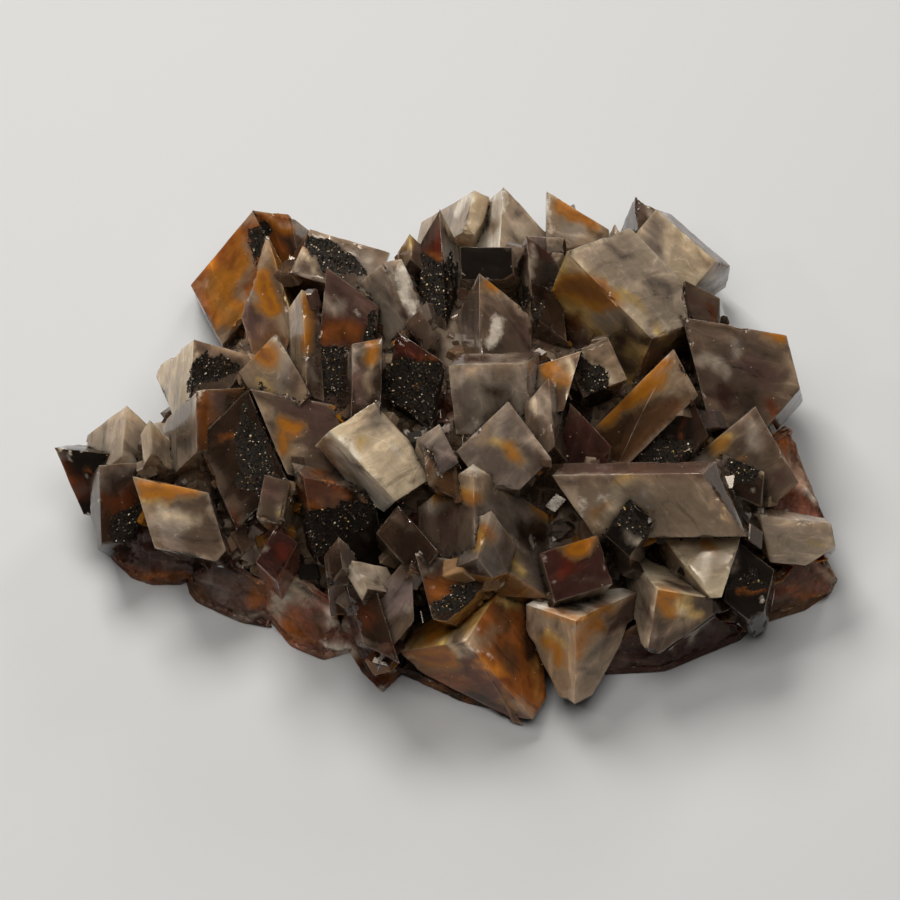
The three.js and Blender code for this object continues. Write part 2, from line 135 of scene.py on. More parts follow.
# %% The crystals of the drawing
CRYSTAL_ROWS = """
orange_shoulder 253,211 4 190,285 285,272
brown_shoulder 291,216 0 251,209 315,233 302,276 fill=0.6
smoky_wedge 269,235 4 243,318 300,296 297,326 fill=0.7 ridge
spotted_cream 281,336 6 244,374 316,396 fill=0.3
pale_strip 305,293 4 290,312 322,300 311,396 ridge
mauve_tower 329,271 5 381,309 317,398
cream_ridge 392,256 0 312,232 372,300
pale_facets 384,266 4 360,286 403,262 412,326 ridge
brown_knob 410,236 0 397,254 427,252 411,262 ridge
grey_sliver 420,313 0 405,327 441,341
dark_tower 440,211 5 418,250 458,243 447,332 ridge
white_wing 474,190 1 420,218 490,197 464,232 fill=0.6 ridge
summit 503,185 3 466,222 548,234 499,250 fill=0.6 ridge
black_window 459,251 4 511,251 461,284 fill=0.8
round_grey 478,277 7 449,330 530,318 478,362 fill=0.6 ridge
brown_prow 524,238 4 509,269 557,262 532,320 ridge
lavender_knob 545,240 2 525,238 564,241 546,257
orange_flame 546,191 2 610,229 545,238 fill=0.3
amber_giant 563,256 8 530,340 627,230 647,342 fill=0.6 ridge
small_peg 614,222 -2 609,235 626,240 616,247 ridge
dark_horn 636,192 1 621,232 690,226 640,244 ridge
pale_block 655,209 5 627,243 672,213 716,262 fill=0.9 ridge
brown_cube 681,282 2 717,300 680,322
great_slab 676,319 4 781,337 703,425 fill=0.5
banded_slope 667,351 9 582,436 691,397
red_streaked 683,392 5 628,455 701,436 fill=0.8
grey_hood 747,407 9 680,463 790,482 fill=0.35
black_box 714,453 10 755,471 711,488
glassy_wedge 722,487 10 696,507 752,499 731,519 fill=0.8
pink_shard 750,514 9 822,521 761,560 738,504 fill=0.5
dark_gable 728,537 8 765,566 714,596 fill=0.7
window_crystal 603,340 8 560,358 622,382
orange_edge 577,354 9 521,372 560,412
plum_face 566,404 5 552,464 606,446
milky_round 545,380 9 521,405 563,402 551,446 fill=0.8 ridge
swirled_block 447,368 9 460,356 455,436 524,366 ridge
grey_gable 506,402 10 455,451 548,459 fill=0.6
red_shield 398,334 6 387,400 443,364
mauve_post 385,341 7 355,347 384,416
cream_block 334,431 12 377,403 398,500 318,446 fill=0.75
olive_slope 256,390 5 335,405 292,474
silver_facet 440,424 9 417,440 459,462
black_pocket 423,446 8 456,462 428,484
olive_body 472,462 8 418,503 546,512 474,545 ridge
cream_gable 546,474 10 560,462 590,536 692,472 ridge
cream_triangle 737,519 11 660,525 713,593 fill=0.15
black_tooth 622,496 12 598,531 647,519
garnet_step 592,531 9 536,549 607,579
grey_fan 490,507 11 440,529 515,541 476,553 fill=0.6 ridge
amber_pyramid 465,634 8 400,646 531,712 520,552 fill=0.25
shield_pyramid 571,614 9 523,599 632,588 571,697 fill=0.3
corner_pyramid 650,584 9 712,595 618,545 641,646 fill=0.2
brown_hollow 416,549 7 489,561 433,613 fill=0.2
grey_blade 413,546 5 380,587 416,614
root_red 380,586 6 345,568 402,656
pale_nub 355,555 8 349,568 389,562 371,583 ridge
glassy_tip 343,532 9 328,552 360,547 347,563 ridge
dark_steps 308,475 9 377,490 322,562 296,461
mauve_sliver 271,473 6 296,480 262,516
garnet_wedge 283,521 7 304,540 262,558
smoke_sliver 400,502 7 378,530 440,548 fill=0.8
left_tip 60,447 3 88,514 80,443 142,456 fill=0.7 ridge
grey_pillar 107,464 5 165,459 95,478 109,542 fill=0.4 ridge
orange_tile 141,475 8 215,491 163,546 fill=0.8
ragged_cream 133,405 0 92,434 175,444 129,456 fill=0.7 ridge
cream_peg 157,419 2 147,434 179,443 160,452 ridge
framed_cream 200,341 5 159,368 252,356 194,440 fill=0.1 ridge
rust_window 203,391 6 165,424 252,388 204,452 ridge
black_slope 254,390 3 203,440 293,479
"""


def pair(word):
    return tuple(float(number) for number in word.split(","))


CRYSTALS = {}
for row in CRYSTAL_ROWS.strip().splitlines():
    name, corner, rise, *rest = row.split()
    fill = [float(word[5:]) for word in rest if word.startswith("fill=")] or [1.0]
    CRYSTALS[name] = dict(
        corner=pair(corner), rise=float(rise), ends=[pair(word) for word in rest if "," in word],
        fill=fill[0], ridge="ridge" in rest,
    )
print("drawn crystals:", len(CRYSTALS))

# %% The crystals round the back, by their tips
BACK_CRYSTALS = {
    "back_amber": dict(tip=(-40, 45, 15), aim=(115, 25), spin=10, edge=19),
    "back_cream": dict(tip=(-27, 42, 14), aim=(100, 15), spin=50, edge=17),
    "back_notch": dict(tip=(-13, 39, 12), aim=(85, 25), spin=95, edge=16),
    "back_grey": dict(tip=(0, 46, 18), aim=(95, 30), spin=30, edge=18),
    "back_middle": dict(tip=(13, 50, 15), aim=(80, 15), spin=70, edge=20),
    "back_smoky": dict(tip=(25, 47, 16), aim=(70, 25), spin=0, edge=17),
    "back_block": dict(tip=(37, 45, 14), aim=(85, 20), spin=40, edge=19),
    "back_corner": dict(tip=(47, 41, 14), aim=(55, 20), spin=85, edge=17),
    "right_high": dict(tip=(53, 25, 12), aim=(35, 20), spin=15, edge=16),
    "right_low": dict(tip=(66, 14, 12), aim=(15, 20), spin=60, edge=17),
    "right_end": dict(tip=(69, -5, 9), aim=(-5, 15), spin=20, edge=14),
    "left_high": dict(tip=(-51, 14, 12), aim=(130, 20), spin=75, edge=17),
    "left_low": dict(tip=(-61, 0, 9), aim=(150, 15), spin=35, edge=14),
    "left_end": dict(tip=(-69, -7, 9), aim=(165, 20), spin=100, edge=13),
}
print("crystals at the back and the ends:", len(BACK_CRYSTALS))

# %% [markdown]
# ## A crystal from its edges
#
# A rhombohedron's three edges meet at the same angle at its tip. That settles how far each drawn
# edge leans out of the paper, so a few lines of descent find the three leans. From the edges come
# the three cap faces, and a body that runs on into the crust.

# %% Edges that lean out of the paper
FACE_ANGLE = math.radians(76)
FACING_START = [-0.75, -0.75, -0.75]
RIDGE_START = [-0.35, -0.35, 0.75]
FACE_ON_TILTS = [-0.35, 0.05]
STEEPEST_AWAY = -1.15
STEEPEST_NEARER = 0.12
ROOT = 16
ROOT_TAPER = 0.86
AWAY_SHARE = 3


def edge_tilts(bearings, start):
    tilts = list(start)
    for _ in range(400):
        change = [0, 0, 0]
        for i, j in ((0, 1), (1, 2), (2, 0)):
            spread = math.cos(bearings[i] - bearings[j])
            a, b = tilts[i], tilts[j]
            miss = math.cos(a) * math.cos(b) * spread + math.sin(a) * math.sin(b) - math.cos(FACE_ANGLE)
            change[i] += miss * (math.cos(a) * math.sin(b) - math.sin(a) * math.cos(b) * spread)
            change[j] += miss * (math.sin(a) * math.cos(b) - math.cos(a) * math.sin(b) * spread)
        tilts = [min(STEEPEST_NEARER, max(STEEPEST_AWAY, t - 0.5 * c)) for t, c in zip(tilts, change)]
    return tilts


def drawn_edges(corner, ends, ridge, **_):
    drawn = [((across - corner[0]) * SQUARE, (corner[1] - down) * SQUARE) for across, down in ends]
    tilts = FACE_ON_TILTS
    if len(ends) == 3:
        tilts = edge_tilts([math.atan2(y, x) for x, y in drawn], RIDGE_START if ridge else FACING_START)
    edges = [
        RIGHT * x + UPWARD * y + NEARER * (math.tan(tilt) * math.hypot(x, y))
        for (x, y), tilt in zip(drawn, tilts)
    ]
    if len(ends) == 2:
        edges.append(-NEARER * ROOT)
    return edges


def aimed_edges(aim, spin, edge, **_):
    bearing, elevation = (math.radians(angle) for angle in aim)
    axis = Vector((
        math.cos(elevation) * math.cos(bearing),
        math.cos(elevation) * math.sin(bearing),
        math.sin(elevation),
    ))
    turn = Vector((0, 0, 1)).rotation_difference(axis)
    lean = math.asin(math.sqrt((1 - math.cos(FACE_ANGLE)) / 1.5))
    edges = []
    for third in (0, 120, 240):
        around = math.radians(third + spin)
        way = Vector((math.sin(lean) * math.cos(around), math.sin(lean) * math.sin(around), -math.cos(lean)))
        edges.append(np.array(turn @ way) * edge)
    return edges


def body_corners(tip, edges, fill, away):
    rim = []
    for i, j in ((0, 1), (1, 2), (2, 0)):
        rim += [tip + edges[i], tip + edges[i] + fill * edges[j], tip + edges[j] + fill * edges[i]]
    inward = sum(edge / np.linalg.norm(edge) for edge in edges) - NEARER * away
    inward /= np.linalg.norm(inward)
    roots = []
    for point in rim:
        on_axis = tip + inward * np.dot(point - tip, inward)
        roots.append(on_axis + (point - on_axis) * ROOT_TAPER + inward * ROOT)
    return [tip, *rim, *roots]


# %% Flat sides of every crystal
def hull_planes(points):
    """The outward normals and offsets of the flat sides of the hull of some points."""
    shape = bmesh.new()
    for point in points:
        shape.verts.new(point)
    bmesh.ops.convex_hull(shape, input=shape.verts)
    shape.normal_update()
    faces = [face for face in shape.faces if face.calc_area() > 1e-6]
    normals = np.array([face.normal for face in faces])
    offsets = np.array([np.dot(face.normal, face.verts[0].co) for face in faces])
    middle = np.mean([np.array(v.co) for v in shape.verts], axis=0)
    inside_out = normals @ middle > offsets
    normals[inside_out] *= -1
    offsets[inside_out] *= -1
    shape.free()
    return normals, offsets


def grown(name, tip, edges, fill, away):
    normals, offsets = hull_planes(body_corners(tip, edges, fill, away))
    caps = [np.cross(edges[i], edges[j]) for i, j in ((0, 1), (1, 2), (2, 0))]
    return dict(name=name, tip=tip, edges=edges, normals=normals, offsets=offsets,
                caps=[cap / np.linalg.norm(cap) for cap in caps])


BODIES = []
for name, row in CRYSTALS.items():
    tip = point_on_dome(*row["corner"], row["rise"]) - CENTRE
    BODIES.append(grown(name, tip, drawn_edges(**row), row["fill"], AWAY_SHARE))
for name, row in BACK_CRYSTALS.items():
    BODIES.append(grown(name, np.array(row["tip"]) - CENTRE, aimed_edges(**row), 1.0, 0))
print("bodies:", len(BODIES), "flat sides:", sum(len(body["offsets"]) for body in BODIES))

# %% [markdown]
# ## Which face is whose
#
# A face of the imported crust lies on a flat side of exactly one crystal, so matching planes gives
# each face its crystal. The label rides along in a face layer, which the cutting tools keep. Faces
# that match nothing belong to the crust of small crystals in the gaps.

# %% Label the faces of a merged copy
GAP = -1
BODY_SIDE = 3
CLOSE = 0.03  # millimetres
ALIGNED = 0.9995


def merged_copy(node):
    """A bmesh of a CAD node in millimetres, with its loose triangles joined."""
    shape = bmesh.new()
    shape.from_mesh(frame["nodes"][node].data)
    bmesh.ops.scale(shape, vec=(1 / MM, 1 / MM, 1 / MM), verts=shape.verts)
    bmesh.ops.remove_doubles(shape, verts=shape.verts, dist=0.002)
    bmesh.ops.dissolve_degenerate(shape, edges=shape.edges, dist=0.01)
    shape.normal_update()
    return shape


def label_faces(shape):
    owner = shape.faces.layers.int.new("crystal")
    side = shape.faces.layers.int.new("side")
    centres = np.array([face.calc_center_median() for face in shape.faces])
    normals = np.array([face.normal for face in shape.faces])
    found = np.full(len(centres), GAP)
    turned = np.full(len(centres), BODY_SIDE)
    for k, body in enumerate(BODIES):
        off = centres @ body["normals"].T - body["offsets"]
        on_side = (np.abs(off) < CLOSE) & (normals @ body["normals"].T > ALIGNED)
        hit = on_side.any(axis=1) & (off.max(axis=1) < CLOSE)
        found[hit] = k
        for s, cap in enumerate(body["caps"]):
            turned[hit & (np.abs(normals @ cap) > ALIGNED)] = s
    for face, k, s in zip(shape.faces, found, turned):
        face[owner] = int(k)
        face[side] = int(s)
    return found


crust = merged_copy("crystals")
labels = label_faces(crust)
print("faces:", len(labels), "in the gaps:", int((labels == GAP).sum()))

# %% [markdown]
# ## Worn edges and faces fine enough to work on
#
# Natural crystals keep a hair-thin bevel, which draws a pale line along each edge. Flat
# neighbouring triangles are dissolved first, so that the bevel follows real edges only. Then the
# long edges are halved again and again. Faces that show from the front are cut finest, those that
# only show from elsewhere less fine, and those buried against the bed stay coarse.

# %% Bevel, then cut where it shows
FLAT = math.radians(0.6)
SHARP = math.radians(18)
BEVEL = 0.14
COARSE, MEDIUM, FINE = 8.0, 3.2, 1.35  # millimetres, the longest edge left in each kind of place
THINNEST = 0.002  # a sliver that is thinner still is taken out
LOOKS_FROM = [NEARER] + [
    np.array([math.cos(tilt) * math.cos(turn), math.cos(tilt) * math.sin(turn), math.sin(tilt)])
    for tilt in (math.radians(15), math.radians(50))
    for turn in np.arange(8) * math.pi / 4
]


def worn_edges(shape):
    bmesh.ops.dissolve_limit(
        shape, angle_limit=FLAT, verts=shape.verts, edges=shape.edges, delimit={"MATERIAL"}
    )
    outer = [edge for edge in shape.edges if edge.is_manifold and edge.is_convex]
    sharp = [
        edge for edge in outer if edge.calc_face_angle(0) > SHARP and edge.calc_length() > 8 * BEVEL
    ]
    bmesh.ops.bevel(
        shape, geom=sharp, offset=BEVEL, offset_type="OFFSET", affect="EDGES", segments=1, profile=0.5,
        material=-1, clamp_overlap=False,
    )
    bmesh.ops.triangulate(shape, faces=shape.faces)
    bmesh.ops.dissolve_degenerate(shape, dist=THINNEST, edges=shape.edges)
    bmesh.ops.triangulate(shape, faces=shape.faces)
    return len(sharp)


def cut_fine(shape, longest, chosen=None):
    """Halves the edges longer than longest, in the faces where the chosen layer is set.

    A round cuts no more than one edge of a face, the longest first, so it leaves only triangles.
    """
    while True:
        long_edges = [edge for edge in shape.edges if edge.calc_length() > longest]
        if chosen is not None:
            long_edges = [edge for edge in long_edges if any(face[chosen] for face in edge.link_faces)]
        if not long_edges:
            break
        long_edges.sort(key=lambda edge: -edge.calc_length())
        halved, taken = [], set()
        for edge in long_edges:
            if taken.isdisjoint(edge.link_faces):
                taken.update(edge.link_faces)
                halved.append(edge)
        bmesh.ops.subdivide_edges(shape, edges=halved, cuts=1, use_single_edge=True)


def open_sky(shape, start=0.05, reach=200):
    """For each face, whether a ray gets away from it towards each of LOOKS_FROM."""
    tree = BVHTree.FromBMesh(shape)
    shape.normal_update()
    seen = np.zeros((len(shape.faces), len(LOOKS_FROM)), bool)
    ways = [Vector(way) for way in LOOKS_FROM]
    for f, face in enumerate(shape.faces):
        middle = face.calc_center_median() + face.normal * start
        for w, way in enumerate(ways):
            if face.normal.dot(way) > 0:
                seen[f, w] = tree.ray_cast(middle, way, reach)[0] is None
    return seen


def cut_where_seen(shape):
    """Cuts all faces, then those seen from anywhere finer, and those seen from the front finest."""
    cut_fine(shape, COARSE)
    chosen = shape.faces.layers.int.new("chosen")
    for longest, ways in ((MEDIUM, slice(None)), (FINE, slice(1))):
        for face, sky in zip(shape.faces, open_sky(shape)):
            face[chosen] = int(sky[ways].any())
        cut_fine(shape, longest, chosen)


print("edges bevelled:", worn_edges(crust))
cut_where_seen(crust)
print("triangles:", len(crust.faces))

# %% [markdown]
# ## Places on the fine mesh
#
# Every finish here follows from where a corner of the mesh lies on its own crystal: how far it is
# from the nearest edge of its side, how close the next crystal comes, and its two coordinates along
# the crystal's edges. Hand-painted masks would also do, but these follow the growth of the real
# thing, and they come out the same on the sides that the drawing doesn't show.

# %% Measure the fine mesh
def read_shape(shape):
    shape.verts.index_update()
    shape.normal_update()
    owner_layer = shape.faces.layers.int["crystal"]
    side_layer = shape.faces.layers.int["side"]
    places = np.array([v.co for v in shape.verts])
    corners = np.array([[loop.vert.index for loop in face.loops] for face in shape.faces])
    owners = np.array([face[owner_layer] for face in shape.faces])
    sides = np.array([face[side_layer] for face in shape.faces])
    facing = np.array([face.normal for face in shape.faces])
    return places, corners, owners, sides, facing


FAR = 20.0  # millimetres


def rim_distance(points, facing, body):
    """How far points lie from the nearest edge of their own flat side."""
    normals, offsets = body["normals"], body["offsets"]
    own = np.argmax(facing @ normals.T, axis=1)
    lean = (normals @ normals.T)[own]
    across = (offsets - points @ normals.T) / np.sqrt(np.maximum(1e-6, 1 - lean ** 2))
    across[lean > ALIGNED] = FAR
    return np.clip(across.min(axis=1), 0, FAR)


def room_around(points, owners):
    """How far points are from the nearest other crystal."""
    room = np.full(len(points), FAR)
    for k, body in enumerate(BODIES):
        near = np.nonzero((np.linalg.norm(points - body["tip"], axis=1) < 60) & (owners != k))[0]
        out = (points[near] @ body["normals"].T - body["offsets"]).max(axis=1)
        room[near] = np.minimum(room[near], out)
    return np.clip(room, 0, FAR)


def along_edges(points, sides, body):
    """Two distances along the crystal's own edges, which serve as growth lines."""
    units = np.array([edge / np.linalg.norm(edge) for edge in body["edges"]]).T
    abc = (points - body["tip"]) @ np.linalg.inv(units).T
    a, b, c = abc.T
    on_cap = [sides == 0, sides == 1, sides == 2]
    return np.stack([np.select(on_cap, [a, b, c], a - b), np.select(on_cap, [b, c, a], c)], axis=1)


def cloud(points, scale, seed):
    """Smooth noise from 0 to 1."""
    shift = Vector((seed * 13.7, seed * 7.3, seed * 3.1))
    return np.array([0.5 + 0.5 * noise.noise(Vector(p) / scale + shift) for p in points])


places, corners, owners, sides, facing = read_shape(crust)
spots = places[corners].reshape(-1, 3)
spot_owner = np.repeat(owners, 3)
spot_side = np.repeat(sides, 3)
spot_facing = np.repeat(facing, 3, axis=0)
rim = np.zeros(len(spots))
growth = np.zeros((len(spots), 2))
for k, body in enumerate(BODIES):
    mine = spot_owner == k
    rim[mine] = rim_distance(spots[mine], spot_facing[mine], body)
    growth[mine] = along_edges(spots[mine], spot_side[mine], body) + 37 * k
room = room_around(spots, spot_owner)
drawn_at = squares(spots)
STRAY = 26  # squares by which the outline of a mark strays, at most
astray = np.stack([
    cloud(places, 6.0, seed) + 0.4 * cloud(places, 2.2, seed + 1) for seed in (5, 7)
], axis=1) - 0.7
sheet = drawn_at + STRAY * astray[corners].reshape(-1, 2)
print("corners:", len(spots), "mean rim distance, mm:", round(float(rim[spot_owner >= 0].mean()), 2))

# %% [markdown]
# ## The colours of each crystal
#
# One crystal is cream, its neighbour smoky, the next one plum, and often each side has a tone of
# its own. This is partly because one looks through a different depth of zoned calcite, and partly
# painted light and shade: each side's tone also holds how brightly that side is lit. So a row gives
# four tone names, for the three sides at the tip and for the rest. The first number is the width of
# the pale border that most of these crystals have. The second is how much clearer or denser than
# most it is.

# %% Tones
TONES = {
    "white": (228, 213, 192), "cream": (205, 182, 150), "pale": (170, 150, 127), "beige": (142, 119, 95),
    "milky": (151, 135, 118), "grey": (113, 98, 86), "lilac": (111, 94, 87), "stone": (91, 74, 60),
    "smoke": (70, 54, 43), "brown": (86, 58, 36), "umber": (50, 35, 25), "night": (25, 20, 16),
    "amber": (150, 102, 48), "orange": (172, 108, 36), "rust": (134, 76, 34), "russet": (94, 48, 26),
    "red": (82, 32, 20), "plum": (56, 32, 27), "mauve": (86, 64, 55), "straw": (194, 160, 96),
    "rose": (120, 74, 58), "pink": (160, 124, 106), "flame": (180, 112, 8),
}


def paint(name):
    """A tone as linear light."""
    shares = np.array(TONES[name]) / 255
    return np.where(shares <= 0.04045, shares / 12.92, ((shares + 0.055) / 1.055) ** 2.4)


LOOK_ROWS = """
orange_shoulder rust brown brown smoke 0.6
brown_shoulder amber brown rust 1
smoky_wedge brown straw brown smoke 1.4
spotted_cream beige stone stone beige 1.2
pale_strip stone smoke beige smoke 1.4
mauve_tower mauve mauve stone umber 0.5
cream_ridge stone beige beige brown 2.4
pale_facets grey milky milky grey 0.9
brown_knob smoke stone beige stone 0.8
grey_sliver smoke smoke smoke umber 0.8
dark_tower umber umber smoke umber 0.6
white_wing cream cream pale cream 0.8
summit pale pale white pale 1
black_window night smoke stone beige 0.4
round_grey grey stone stone smoke 1.2
brown_prow stone umber beige umber 0.8
lavender_knob lilac milky lilac umber 0.8
orange_flame beige beige beige pale 1
amber_giant beige pale straw beige 1.2 0.2
small_peg pale pale pale 0.8
dark_horn grey stone smoke 1.2
pale_block beige smoke cream smoke 1.2
brown_cube stone stone stone umber 1
great_slab stone stone stone umber 1.3
banded_slope brown stone stone smoke 2
red_streaked umber umber umber smoke 0.9
grey_hood stone grey grey beige 1.3
black_box umber umber umber stone 1
glassy_wedge grey pale grey stone 0.8 0.5
pink_shard pale beige beige russet 1.2
dark_gable night umber umber night 0.6 -0.4
window_crystal smoke beige beige smoke 1.6
orange_edge brown pale pale 1.2
plum_face plum plum plum stone 0.6
milky_round umber stone stone beige 1
swirled_block grey milky smoke umber 1
grey_gable grey grey grey grey 1.4
red_shield night umber umber stone 0.9
mauve_post umber smoke stone umber 0.8
cream_block cream white beige stone 1
olive_slope stone stone stone 1.5
silver_facet lilac lilac lilac stone 1
black_pocket brown brown brown brown 1
olive_body amber grey stone brown 1.6
cream_gable smoke beige smoke smoke 1.2
cream_triangle cream cream cream beige 1.5
black_tooth night umber umber stone 0.8
garnet_step plum plum plum stone 0.5
grey_fan smoke grey smoke amber 1.2
amber_pyramid russet rust straw brown 0.9 -0.5
shield_pyramid white beige beige umber 1.4 -0.3
corner_pyramid cream pale smoke night 1.2 -0.4
brown_hollow umber smoke smoke amber 1.4
grey_blade stone stone stone plum 0.9
root_red umber brown brown plum 0.7
pale_nub stone pale pale stone 0.8
glassy_tip stone grey umber brown 0.8
dark_steps night night stone umber 1
mauve_sliver stone stone stone beige 0.9
garnet_wedge plum red plum rose 0.4
smoke_sliver umber umber umber stone 0.9
left_tip smoke umber night umber 0.8
grey_pillar umber umber umber night 0.9
orange_tile stone stone stone night 1.8
ragged_cream pale pale pale beige 0.9
cream_peg grey cream pale grey 0.9
framed_cream cream stone cream beige 1.8
rust_window grey brown milky stone 1.2
black_slope umber umber umber smoke 1.2
back_amber rust amber brown smoke 1.2
back_cream pale cream beige stone 1.4
back_notch stone grey smoke umber 1
back_grey grey lilac stone stone 1.4
back_middle beige grey pale brown 1.6
back_smoky smoke umber stone umber 1.2
back_block milky stone grey stone 1.2
back_corner pale beige stone brown 1.4
right_high stone grey mauve umber 1.2
right_low beige rust stone umber 1.6
right_end stone mauve grey red 1
left_high rust beige brown umber 1.4
left_low grey umber pale umber 1.4
left_end stone umber smoke umber 1
"""
LOOKS = {}
for row in LOOK_ROWS.strip().splitlines():
    name, *words = row.split()
    side_tones_with_painted_light = [word for word in words if word in TONES]
    border, *clear = [float(word) for word in words[len(side_tones_with_painted_light):]]
    LOOKS[name] = dict(side_tones_with_painted_light=(side_tones_with_painted_light + side_tones_with_painted_light[-1:] * 4)[:4], rim=border, glass=sum(clear))
print("crystals with a look:", len(LOOKS), "of", len(BODIES))
